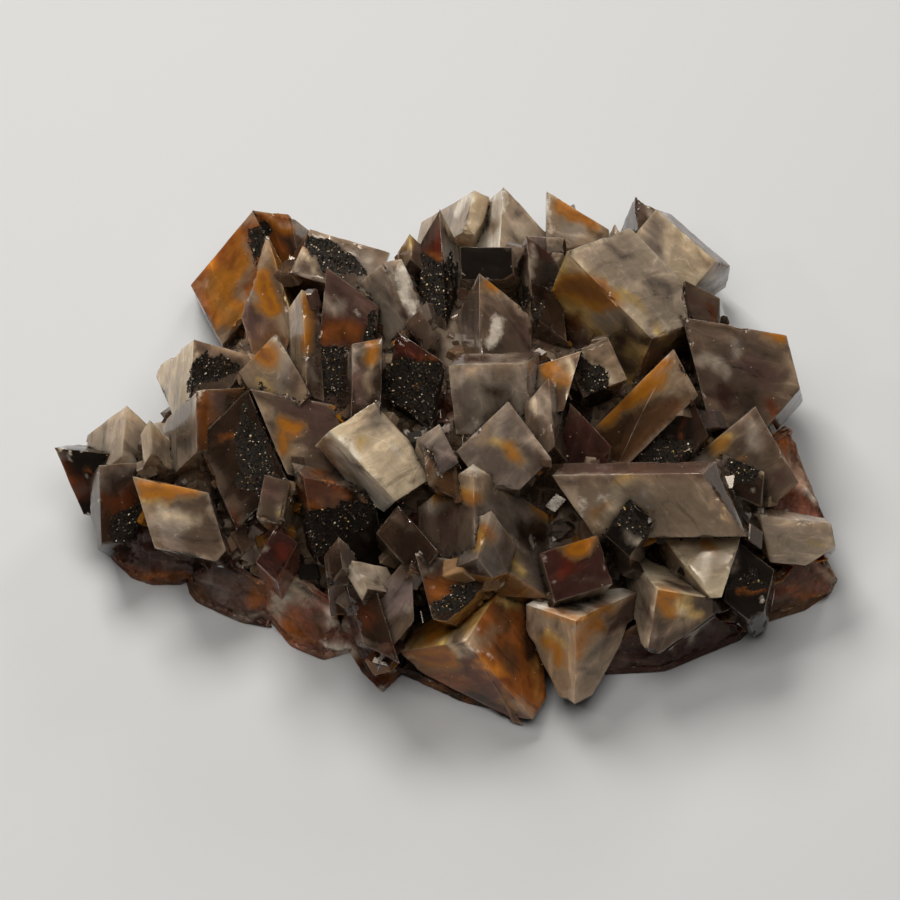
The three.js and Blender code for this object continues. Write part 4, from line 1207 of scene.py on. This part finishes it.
border = calcite.mix(calcite.step(broad, 0.35, 0.65), solid("pale"), solid("milky"))
base = calcite.mix(calcite.times(paled, BORDER_SHARE), base, border)
phantom = calcite.ramp(calcite.step(stain_depth, -1.8, 2.0), [
    (0.0, solid("straw")), (0.35, solid("orange")), (0.6, solid("flame")), (1.0, solid("rust")),
])
base = calcite.mix(calcite.times(stained, PHANTOM_SHARE), base, phantom)
cracks = calcite.step(calcite.cells(150, "DISTANCE_TO_EDGE", warp=0.006), 0.0, 0.014, 1.0, 0.0)
cracks = calcite.times(cracks, calcite.step(calcite.noise(160, 3), 0.52, 0.62, 0.0, 0.5))
base = calcite.shaded(base, calcite.math("ADD", 1.0, cracks))
# Small white dots: partly flecks of dust, partly painted glints.
flecks_and_painted_glints = calcite.step(calcite.cells(700), 0.05, 0.11, 1.0, 0.0)
flecks_and_painted_glints = calcite.times(flecks_and_painted_glints, calcite.step(calcite.cells(700, output="Color"), 0.68, 0.7, 0.0, 0.6))
base = calcite.mix(flecks_and_painted_glints, base, solid("white"))
# Pale lines along the edges: partly wear, partly painted highlight.
edge_wear_and_highlight = calcite.math("ADD", calcite.value("rim"), calcite.times(ragged, 0.5))
base = calcite.mix(calcite.step(edge_wear_and_highlight, 0.25, 0.45, 0.3, 0.0), base, solid("pale"))
# Painted shade: darker close to the next crystal, and a little lighter far from it.
to_next = calcite.value("room")
painted_crevice_shade = calcite.times(
    calcite.step(to_next, -0.1, 0.8, 0.66, 1.0), calcite.step(to_next, 0.0, 6.0, 0.78, 1.12)
)
base = calcite.shaded(base, painted_crevice_shade)
druse_tone = calcite.ramp(calcite.cells(2200, output="Color"), [
    (0.0, (0.006, 0.0045, 0.003, 1)), (0.7, (0.003, 0.002, 0.0015, 1)),
    (0.9, solid("night")), (1.0, solid("umber")),
])
calcite.feed(calcite.surface.inputs["Base Color"], calcite.mix(coated, base, druse_tone))

# %% Calcite: gloss, depth and growth lines
COAT_ROUGHNESS = (0.75, 0.75, 0.75, 1)
SCATTERED = 0.35
CLEAR = 0.42

gloss = calcite.step(calcite.noise(260, 5, 0.6), 0.3, 0.7, 0.05, 0.22)
calcite.feed(calcite.surface.inputs["Roughness"], calcite.mix(coated, gloss, COAT_ROUGHNESS))
bare = calcite.math("SUBTRACT", 1.0, coated)
calcite.feed(calcite.surface.inputs["Subsurface Weight"], calcite.times(bare, SCATTERED))
calcite.finish({
    "Subsurface Radius": (1.0, 0.7, 0.45), "Subsurface Scale": 0.006,
    "IOR": 1.55, "Specular IOR Level": 0.26, "Specular Tint": (1.0, 0.87, 0.72, 1.0),
})
see_through = calcite.math("SUBTRACT", 1.0, calcite.math("MAXIMUM", coated, paled))
clear = calcite.times(calcite.math("ADD", calcite.value("glass"), CLEAR), see_through)
calcite.feed(calcite.surface.inputs["Transmission Weight"], clear)
lengthways = calcite.noise(1.0, 1, 0.6, vector=calcite.stretched("growth", (0.12, 3.2, 1)))
calcite.feed(calcite.surface.inputs["Normal"], calcite.bump(lengthways, 0.16, 0.00006))
skin.materials.append(calcite.material)

# %% [markdown]
# ## The bed
#
# Under the crystals lies massive calcite, stained by iron: purple-red on the left, a smoky block
# and a pink one with fresh cleavage at the front, brown on the right. It broke along calcite's
# cleavage planes, so its sides are stepped and glinting rather than rounded. A noise pushed through
# a staircase gives such ledges. They only go inward, and the flat cut that it rests on stays flat.

# %% Cut and step the bed
BED_CELLS = 1.2  # millimetres between cuts
LEDGE = 2.0
SMALL_LEDGE = 0.5
PITS = 0.2
LEDGE_STEPS = 5
LEDGE_SPAN = 6.0
FOOT = 0.4  # the lowest part that stays as it is

bed = merged_copy("matrix")
worn_edges(bed)
cut_fine(bed, BED_CELLS)
bed.verts.index_update()
bed.normal_update()
bed_places = np.array([v.co for v in bed.verts])
bed_corners = np.array([[v.index for v in face.verts] for face in bed.faces])


def ledges(points, stretch, seed):
    """Noise from 0 to 1 that climbs in steps, with narrow slopes between them."""
    height = cloud(points * stretch, LEDGE_SPAN, seed) * LEDGE_STEPS
    flat = np.floor(height)
    return (flat + soft_step(height - flat, 0.8, 1.0)) / LEDGE_STEPS


broken = LEDGE * ledges(bed_places, np.array([1.0, 1.6, 2.4]), 11)
broken += SMALL_LEDGE * ledges(bed_places, np.array([3.0, 2.0, 5.0]), 12)
broken += PITS * cloud(bed_places, 1.4, 13)
broken *= soft_step(bed_places[:, 2], FOOT, 3 * FOOT)
for vert, move in zip(bed.verts, np.array([v.normal for v in bed.verts]) * broken[:, None]):
    vert.co -= Vector(move)
print("triangles of the bed:", len(bed.faces), "deepest ledge, mm:", round(float(broken.max()), 2))

# %% Stain the bed and paint glints on it
# The white marks are painted glints on the cleavage faces. The other marks are stains.
BED_ROWS = """
bed: plum 0 90,500 260,525 262,575 185,590 130,575; russet 12 105,540 125,565 150,578; red 14 180,545 240,540
    mauve 10 150,570 200,560; rust 8 150,583 185,585; umber 10 200,560 240,560
    mauve 0 188,575 262,570 278,628 205,605; lilac 12 208,588 222,592; milky 5 240,618 262,612
    night 8 230,575 245,580; rust 14 254,582 262,596
    rose 0 262,577 302,565 345,590 356,655 326,660 290,645 264,612
    pale 0 266,580 300,570 322,582 304,608 272,612; pink 8 300,600 330,606; white 8 282,597 292,598
    pink 6 268,612 284,628; umber 4 308,585 326,598; rust 14 284,622 318,640; pink 8 300,604 318,600
    white 6 334,610 352,630; white 9 330,638 352,650; pink 6 318,650 330,655; brown 10 318,618 330,622
    red 0 340,585 375,600 405,640 408,668 384,690 358,668; rust 14 345,608 385,625; umber 12 362,640 366,660
    pale 3 366,632 385,640 402,662; white 3 380,684 388,686; rust 8 376,660 392,676; white 3 390,664 396,668
    umber 0 400,640 540,650 535,715 400,690; rust 8 430,680 470,692
    plum 0 600,640 690,610 760,600 750,626 690,650 660,670 600,672; red 20 655,636 700,612
    red 10 670,648 690,634; pale 4 655,646 664,650; white 4 694,636 697,624; mauve 6 600,664 665,664
    brown 14 690,604 740,600; smoke 8 700,632 740,634; brown 0 752,570 835,548 838,590 800,612 750,626
    rose 14 770,592 820,585; russet 12 784,562 820,556; red 8 785,574 810,566; pale 4 826,570 832,582
    white 6 750,598 758,590; rust 12 790,590 815,600; pink 5 815,562 822,572
    rose 0 765,420 795,420 815,520 760,515; rust 14 778,430 784,448; brown 12 786,450 790,462
    pink 12 794,470 800,484; russet 10 790,492 806,500; pink 4 785,455 787,460; beige 4 800,462 803,486
    white 3 806,492 811,498
"""
bed_spots = bed_places[bed_corners].reshape(-1, 3)
bed_astray = np.stack([cloud(bed_places, 5.0, 15), cloud(bed_places, 5.0, 16)], axis=1) - 0.5
bed_sheet = squares(bed_spots) + STRAY * bed_astray[bed_corners].reshape(-1, 2)
blotches = soft_step(cloud(bed_places, 9.0, 17), 0.4, 0.62)[bed_corners].reshape(-1, 1)
bed_tone = paint("plum") * (1 - blotches) + paint("brown") * blotches
CLEAVED_SHARP = math.radians(14)
for kind, width, points in read_marks(BED_ROWS)["bed"]:
    share = soft_step(mark_depth(bed_sheet, width, points), -1.2, 1.2)[:, None]
    bed_tone += (paint(kind) - bed_tone) * share

massive = piece_from(bed, "massive_calcite")
set_corner_colour(massive.data, "tone", bed_tone)
set_corner_value(massive.data, "ledge", broken[bed_corners].reshape(-1))
massive.data.shade_smooth()
massive.data.set_sharp_from_angle(angle=CLEAVED_SHARP)
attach(massive, "root")
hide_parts("matrix")

# %% Red calcite material
red = Wiring("iron_stained_calcite")
mottle = red.step(red.noise(230, 7, 0.66, 0.8), 0.3, 0.7, 0.5, 1.25)
rock = red.shaded(red.colour("tone"), mottle)
threads = red.step(red.noise(330, 5, 0.6, 3.0), 0.60, 0.66, 0.0, 0.35)
rock = red.mix(threads, rock, solid("rose"))
seams_of_iron = red.step(red.cells(170, "DISTANCE_TO_EDGE", warp=0.006), 0.0, 0.04, 0.72, 1.0)
rock = red.shaded(rock, seams_of_iron)
specks = red.step(red.noise(2100, 2), 0.68, 0.74, 0.0, 0.5)
rock = red.mix(specks, rock, solid("pink"))
red.feed(red.surface.inputs["Base Color"], rock)
red.feed(red.surface.inputs["Roughness"], red.step(red.noise(500, 4), 0.35, 0.65, 0.14, 0.5))
red.finish({
    "Subsurface Weight": 0.4, "Subsurface Radius": (1.0, 0.5, 0.35), "Subsurface Scale": 0.003,
    "IOR": 1.55, "Specular IOR Level": 0.26, "Specular Tint": (1.0, 0.82, 0.7, 1.0),
})
cleaved = red.bump(red.noise(900, 3, 0.5), 0.5, 0.0002)
cleaved = red.bump(red.cells(1500), 0.35, 0.0001, cleaved)
red.feed(red.surface.inputs["Normal"], cleaved)
massive.data.materials.append(red.material)

# %% [markdown]
# ## Small crystals in the gaps
#
# Where two large crystals meet, later and smaller ones filled the notch. They hide the seams, so
# the crust reads as grown and not as stacked. A gap face or the foot of a crystal is picked at
# random, and a bevelled rhombohedron is set on it, sunk a little past its middle. Each takes half
# of its tone from what it grows on.

# %% Grow the small crystals
rng = np.random.default_rng(7)
SMALL_COUNT = 1000
SMALL_SIZES = (1.2, 4.4)
ASKEW = (1.0, 0.7321, 0.4143)
SET_IN = 0.12  # how much of its size each one is sunk
SMALL_TONES = ["stone", "smoke", "mauve", "beige", "grey", "brown", "umber", "lilac"]
SMALL_BEVEL = 0.05
STAINED_SHARE, COATED_SHARE = 0.05, 0.08
WELL_INSIDE_A_MARK = 0.6  # millimetres
FLATTENED = 0.28  # how much shorter than a cube's its long diagonal is


def tiny_rhomb(bevel=0.0):
    """The corners and faces of a rhombohedron with edges of about 1."""
    shape = bmesh.new()
    bmesh.ops.create_cube(shape, size=1.0)
    diagonal = Vector((1, 1, 1)).normalized()
    for vert in shape.verts:
        vert.co -= diagonal * vert.co.dot(diagonal) * FLATTENED
    if bevel:
        bmesh.ops.bevel(
            shape, geom=shape.edges, offset=bevel, affect="EDGES", segments=1, profile=0.5, material=-1
        )
    bmesh.ops.triangulate(shape, faces=shape.faces)
    shape.verts.index_update()
    shape.normal_update()
    corners = np.array([v.co for v in shape.verts])
    faces = np.array([[v.index for v in face.verts] for face in shape.faces])
    shape.free()
    return corners, faces


def random_turns(count):
    quaternions = rng.normal(size=(count, 4))
    w, x, y, z = (quaternions / np.linalg.norm(quaternions, axis=1)[:, None]).T
    return np.stack([
        1 - 2 * (y * y + z * z), 2 * (x * y - z * w), 2 * (x * z + y * w),
        2 * (x * y + z * w), 1 - 2 * (x * x + z * z), 2 * (y * z - x * w),
        2 * (x * z - y * w), 2 * (y * z + x * w), 1 - 2 * (x * x + y * y),
    ], axis=1).reshape(-1, 3, 3)


def strewn(count, triangles, chance):
    """Random places on the triangles, more where the chance is higher.

    Triangulate leaves its faces and their corners in another order in each run. So both are sorted
    by place first, along a direction in which hardly any two are level.
    """
    along = triangles @ ASKEW
    order = along.sum(axis=1).argsort()
    turn = (along.argmin(axis=1)[:, None] + np.arange(3)) % 3
    a, b, c = triangles[order[:, None], turn[order]].transpose(1, 0, 2)
    across = np.cross(b - a, c - a)
    area = np.linalg.norm(across, axis=1) / 2
    share = area * chance[order]
    picked = rng.choice(len(area), size=count, p=share / share.sum())
    u, v = rng.random(count), rng.random(count)
    over = u + v > 1
    u[over], v[over] = 1 - u[over], 1 - v[over]
    spot = a[picked] + (b - a)[picked] * u[:, None] + (c - a)[picked] * v[:, None]
    return spot, (across / (2 * area[:, None] + 1e-12))[picked], order[picked]


def grains(name, form, spots, sizes, sink):
    """One mesh of many small crystals of the same form, turned and stretched at random.

    One that would stick out of the solids' box is pushed back inside.
    """
    shape_corners, shape_faces = form
    turns = random_turns(len(spots))
    stretch = rng.uniform(0.7, 1.3, (len(spots), 1, 3))
    stretched = shape_corners[None] * stretch * sizes[:, None, None]
    placed = np.einsum("nij,nkj->nki", turns, stretched) + (spots + sink)[:, None]
    too_low, too_high = BOX[0] - placed.min(axis=1), placed.max(axis=1) - BOX[1]
    placed += (np.maximum(0, too_low) - np.maximum(0, too_high))[:, None]
    faces = shape_faces[None] + (np.arange(len(spots)) * len(shape_corners))[:, None, None]
    mesh = bpy.data.meshes.new(name)
    mesh.from_pydata((placed.reshape(-1, 3) * MM).tolist(), [], faces.reshape(-1, 3).tolist())
    mesh.update()
    piece = bpy.data.objects.new(name, mesh)
    bpy.context.scene.collection.objects.link(piece)
    return piece, len(shape_faces)


mesh_places = np.array([v.co for v in skin.vertices]) / MM
triangles = mesh_places[corners]
face_room = room.reshape(-1, 3).mean(axis=1)
shown = np.clip(facing @ NEARER, 0, 1) + 0.4 * (facing[:, 2] > 0) + 0.1
BOX = np.array([cad_box[0], cad_box[1]]) / MM


def well_inside(triangles, margin):
    """Which triangles lie at least that many millimetres inside the solids' box."""
    middles = triangles.mean(axis=1)
    return ((middles > BOX[0] + margin) & (middles < BOX[1] - margin)).all(axis=1)


at_foot = (sides == BODY_SIDE) & (face_room < 2.0)
notch = well_inside(triangles, SMALL_SIZES[1]) * np.where(owners == GAP, 1.0, 0.55 * at_foot)
small_spots, small_out, small_on = strewn(SMALL_COUNT, triangles, notch * shown)
small_sizes = SMALL_SIZES[0] + (SMALL_SIZES[1] - SMALL_SIZES[0]) * rng.random(SMALL_COUNT) ** 2
sunk = -small_out * small_sizes[:, None] * SET_IN
small, small_faces = grains("small_crystals", tiny_rhomb(SMALL_BEVEL), small_spots, small_sizes, sunk)
own = np.array([paint(SMALL_TONES[i]) for i in rng.integers(len(SMALL_TONES), size=SMALL_COUNT)])
grown_on = tone.reshape(-1, 3, 3).mean(axis=1)[small_on]
per_crystal = 3 * small_faces
set_corner_colour(small.data, "tone", np.repeat(0.5 * own + 0.5 * grown_on, per_crystal, axis=0))
stained_ones = np.where(rng.random(SMALL_COUNT) < STAINED_SHARE, WELL_INSIDE_A_MARK, NONE)
coated_ones = np.where(rng.random(SMALL_COUNT) < COATED_SHARE, WELL_INSIDE_A_MARK, NONE)
for name, values in (("stain", stained_ones), ("coat", coated_ones)):
    set_corner_value(small.data, name, np.repeat(values, per_crystal))
for name, value in (("rim", 1.2), ("room", FAR), ("pale", NONE), ("glare", NONE), ("glass", 0.2)):
    set_corner_value(small.data, name, np.full(SMALL_COUNT * per_crystal, value))
loop_places = np.array([small.data.vertices[loop.vertex_index].co for loop in small.data.loops]) / MM
small.data.uv_layers.new(name="growth").data.foreach_set("uv", loop_places[:, :2].astype(np.float32).ravel())
small.data.materials.append(calcite.material)
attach(small, "root")
print("small crystals:", SMALL_COUNT, "triangles:", len(small.data.polygons))

# %% [markdown]
# ## Druse
#
# The dark coat is a carpet of crystals of a few tenths of a millimetre. From afar it is a rough
# dark skin with sparks of light in it. The skin is in the calcite's own finish, and the crystals
# that throw the sparks are real ones: 14,000 tiny rhombohedra, half sunk into the coated faces and
# joined into one mesh. The brightest few of them are also given a straw or white colour, which
# paints sparks on them.

# %% Strew the druse
DRUSE_COUNT = 14000
DRUSE_SIZES = (0.14, 0.4)

coat_on_face = coat.reshape(-1, 3).mean(axis=1)
shown = np.clip(facing @ NEARER, 0, 1) + 0.25 * (facing[:, 2] > 0)
chance = soft_step(coat_on_face, -0.4, 0.6) * shown * well_inside(triangles, DRUSE_SIZES[1])
spots_of_druse, out, picked = strewn(DRUSE_COUNT, triangles, chance)
sizes = DRUSE_SIZES[0] + (DRUSE_SIZES[1] - DRUSE_SIZES[0]) * rng.random(DRUSE_COUNT) ** 2.5
druse, per_grain = grains("druse", tiny_rhomb(), spots_of_druse, sizes, -out * sizes[:, None] * 0.15)
tint = rng.random(DRUSE_COUNT)
tints = druse.data.attributes.new("tint", "FLOAT", "FACE")
tints.data.foreach_set("value", np.repeat(tint, per_grain).astype(np.float32))
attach(druse, "root")
print("druse crystals:", DRUSE_COUNT, "triangles:", len(druse.data.polygons))

# %% Druse finish
sparkle = Wiring("dark_druse")
# Painted sparks: a few grains in straw and white, the rest near black.
druse_tone_and_painted_sparks = sparkle.ramp(sparkle.value("tint"), [
    (0.0, (0.004, 0.0035, 0.003, 1)), (0.6, (0.006, 0.005, 0.004, 1)), (0.9, solid("umber")),
    (0.965, solid("brown")), (0.98, solid("straw")), (1.0, solid("white")),
])
speck = sparkle.step(sparkle.noise(5200, 3), 0.35, 0.65, 0.7, 1.3)
sparkle.feed(sparkle.surface.inputs["Base Color"], sparkle.shaded(druse_tone_and_painted_sparks, speck))
sparkle.feed(sparkle.surface.inputs["Roughness"], sparkle.step(sparkle.noise(3000, 2), 0.3, 0.7, 0.06, 0.3))
sparkle.finish({"IOR": 1.6, "Specular IOR Level": 0.3, "Specular Tint": (1.0, 0.8, 0.58, 1.0)})
sparkle.feed(sparkle.surface.inputs["Normal"], sparkle.bump(sparkle.noise(9000, 2), 0.2, 0.00002))
druse.data.materials.append(sparkle.material)

# %% [markdown]
# ## Floor and light
#
# The specimen lies on a plain pale floor. A photographer would light such glossy faces with a few
# soft boxes, placed so that none of them mirrors in the large faces, because that would wash out
# the colours. One very small lamp is added for the sparks on edges and druse. A bright world would
# be simpler, but all faces would mirror it, so the world is kept dim.

# %% Lay the floor
def softbox(name, place, size, power, aim=(0, 0, 0.02)):
    light = bpy.data.lights.new(name, "AREA")
    light.shape = "RECTANGLE"
    light.size, light.size_y = size
    light.energy = power
    lamp = bpy.data.objects.new(name, light)
    lamp.location = place
    lamp.rotation_euler = (Vector(aim) - Vector(place)).to_track_quat("-Z", "Y").to_euler()
    bpy.context.scene.collection.objects.link(lamp)


def from_direction(bearing, height, reach):
    """A place that far away, at a bearing from +X and a height above the floor, in degrees."""
    turn, tilt = math.radians(bearing), math.radians(height)
    level = reach * math.cos(tilt)
    return level * math.cos(turn), level * math.sin(turn), reach * math.sin(tilt)


ground = bmesh.new()
bmesh.ops.create_grid(ground, x_segments=1, y_segments=1, size=3)
floor_mesh = bpy.data.meshes.new("floor")
ground.to_mesh(floor_mesh)
ground.free()
floor = bpy.data.objects.new("floor", floor_mesh)
bpy.context.scene.collection.objects.link(floor)
paper = bpy.data.materials.new("pale_floor")
paper.use_nodes = True
paper.node_tree.nodes["Principled BSDF"].inputs["Base Color"].default_value = (0.4, 0.392, 0.38, 1)
paper.node_tree.nodes["Principled BSDF"].inputs["Roughness"].default_value = 0.8
floor_mesh.materials.append(paper)

# %% Set up the lights
softbox("key", from_direction(125, 62, 0.8), (0.35, 0.35), 6.5)
softbox("front", from_direction(-95, 74, 0.9), (0.6, 0.4), 5)
softbox("side", from_direction(60, 35, 0.8), (0.2, 0.3), 1.5)
softbox("glints", from_direction(-160, 50, 0.8), (0.05, 0.05), 0.4)
room_light = bpy.data.worlds.new("dim_room")
room_light.use_nodes = True
room_light.node_tree.nodes["Background"].inputs["Color"].default_value = (1, 0.98, 0.95, 1)
room_light.node_tree.nodes["Background"].inputs["Strength"].default_value = 0.06
bpy.context.scene.world = room_light
bpy.context.scene.view_settings.view_transform = "Standard"

# %% [markdown]
# ## Camera
#
# The photograph was taken from far away and from above the front. A long lens, with its axis along
# the line of sight of the drawing, gives nearly the same parallel lines. The distance follows from
# the width of the frame.

# %% Place the camera
LENS = 300
SENSOR = 36
FRAME_WIDTH = 0.180

looked_at = -CENTRE * MM
lens = bpy.data.cameras.new("camera")
lens.lens = LENS
lens.sensor_width = SENSOR
lens.clip_start = 0.1
lens.clip_end = 10
camera = bpy.data.objects.new("camera", lens)
camera.location = Vector(looked_at + NEARER * FRAME_WIDTH * LENS / SENSOR)
camera.rotation_euler = (Vector(looked_at) - camera.location).to_track_quat("-Z", "Y").to_euler()
bpy.context.scene.collection.objects.link(camera)
bpy.context.scene.camera = camera
print("camera distance, m:", round(FRAME_WIDTH * LENS / SENSOR, 3))

# %% [markdown]
# ## Sizes
#
# The visual model has to stay inside the solids' box, or the part would no longer fit where it is
# used. The solids' box is printed at the end.

# %% Print the solids' box
print("solids' box:", cad_box)
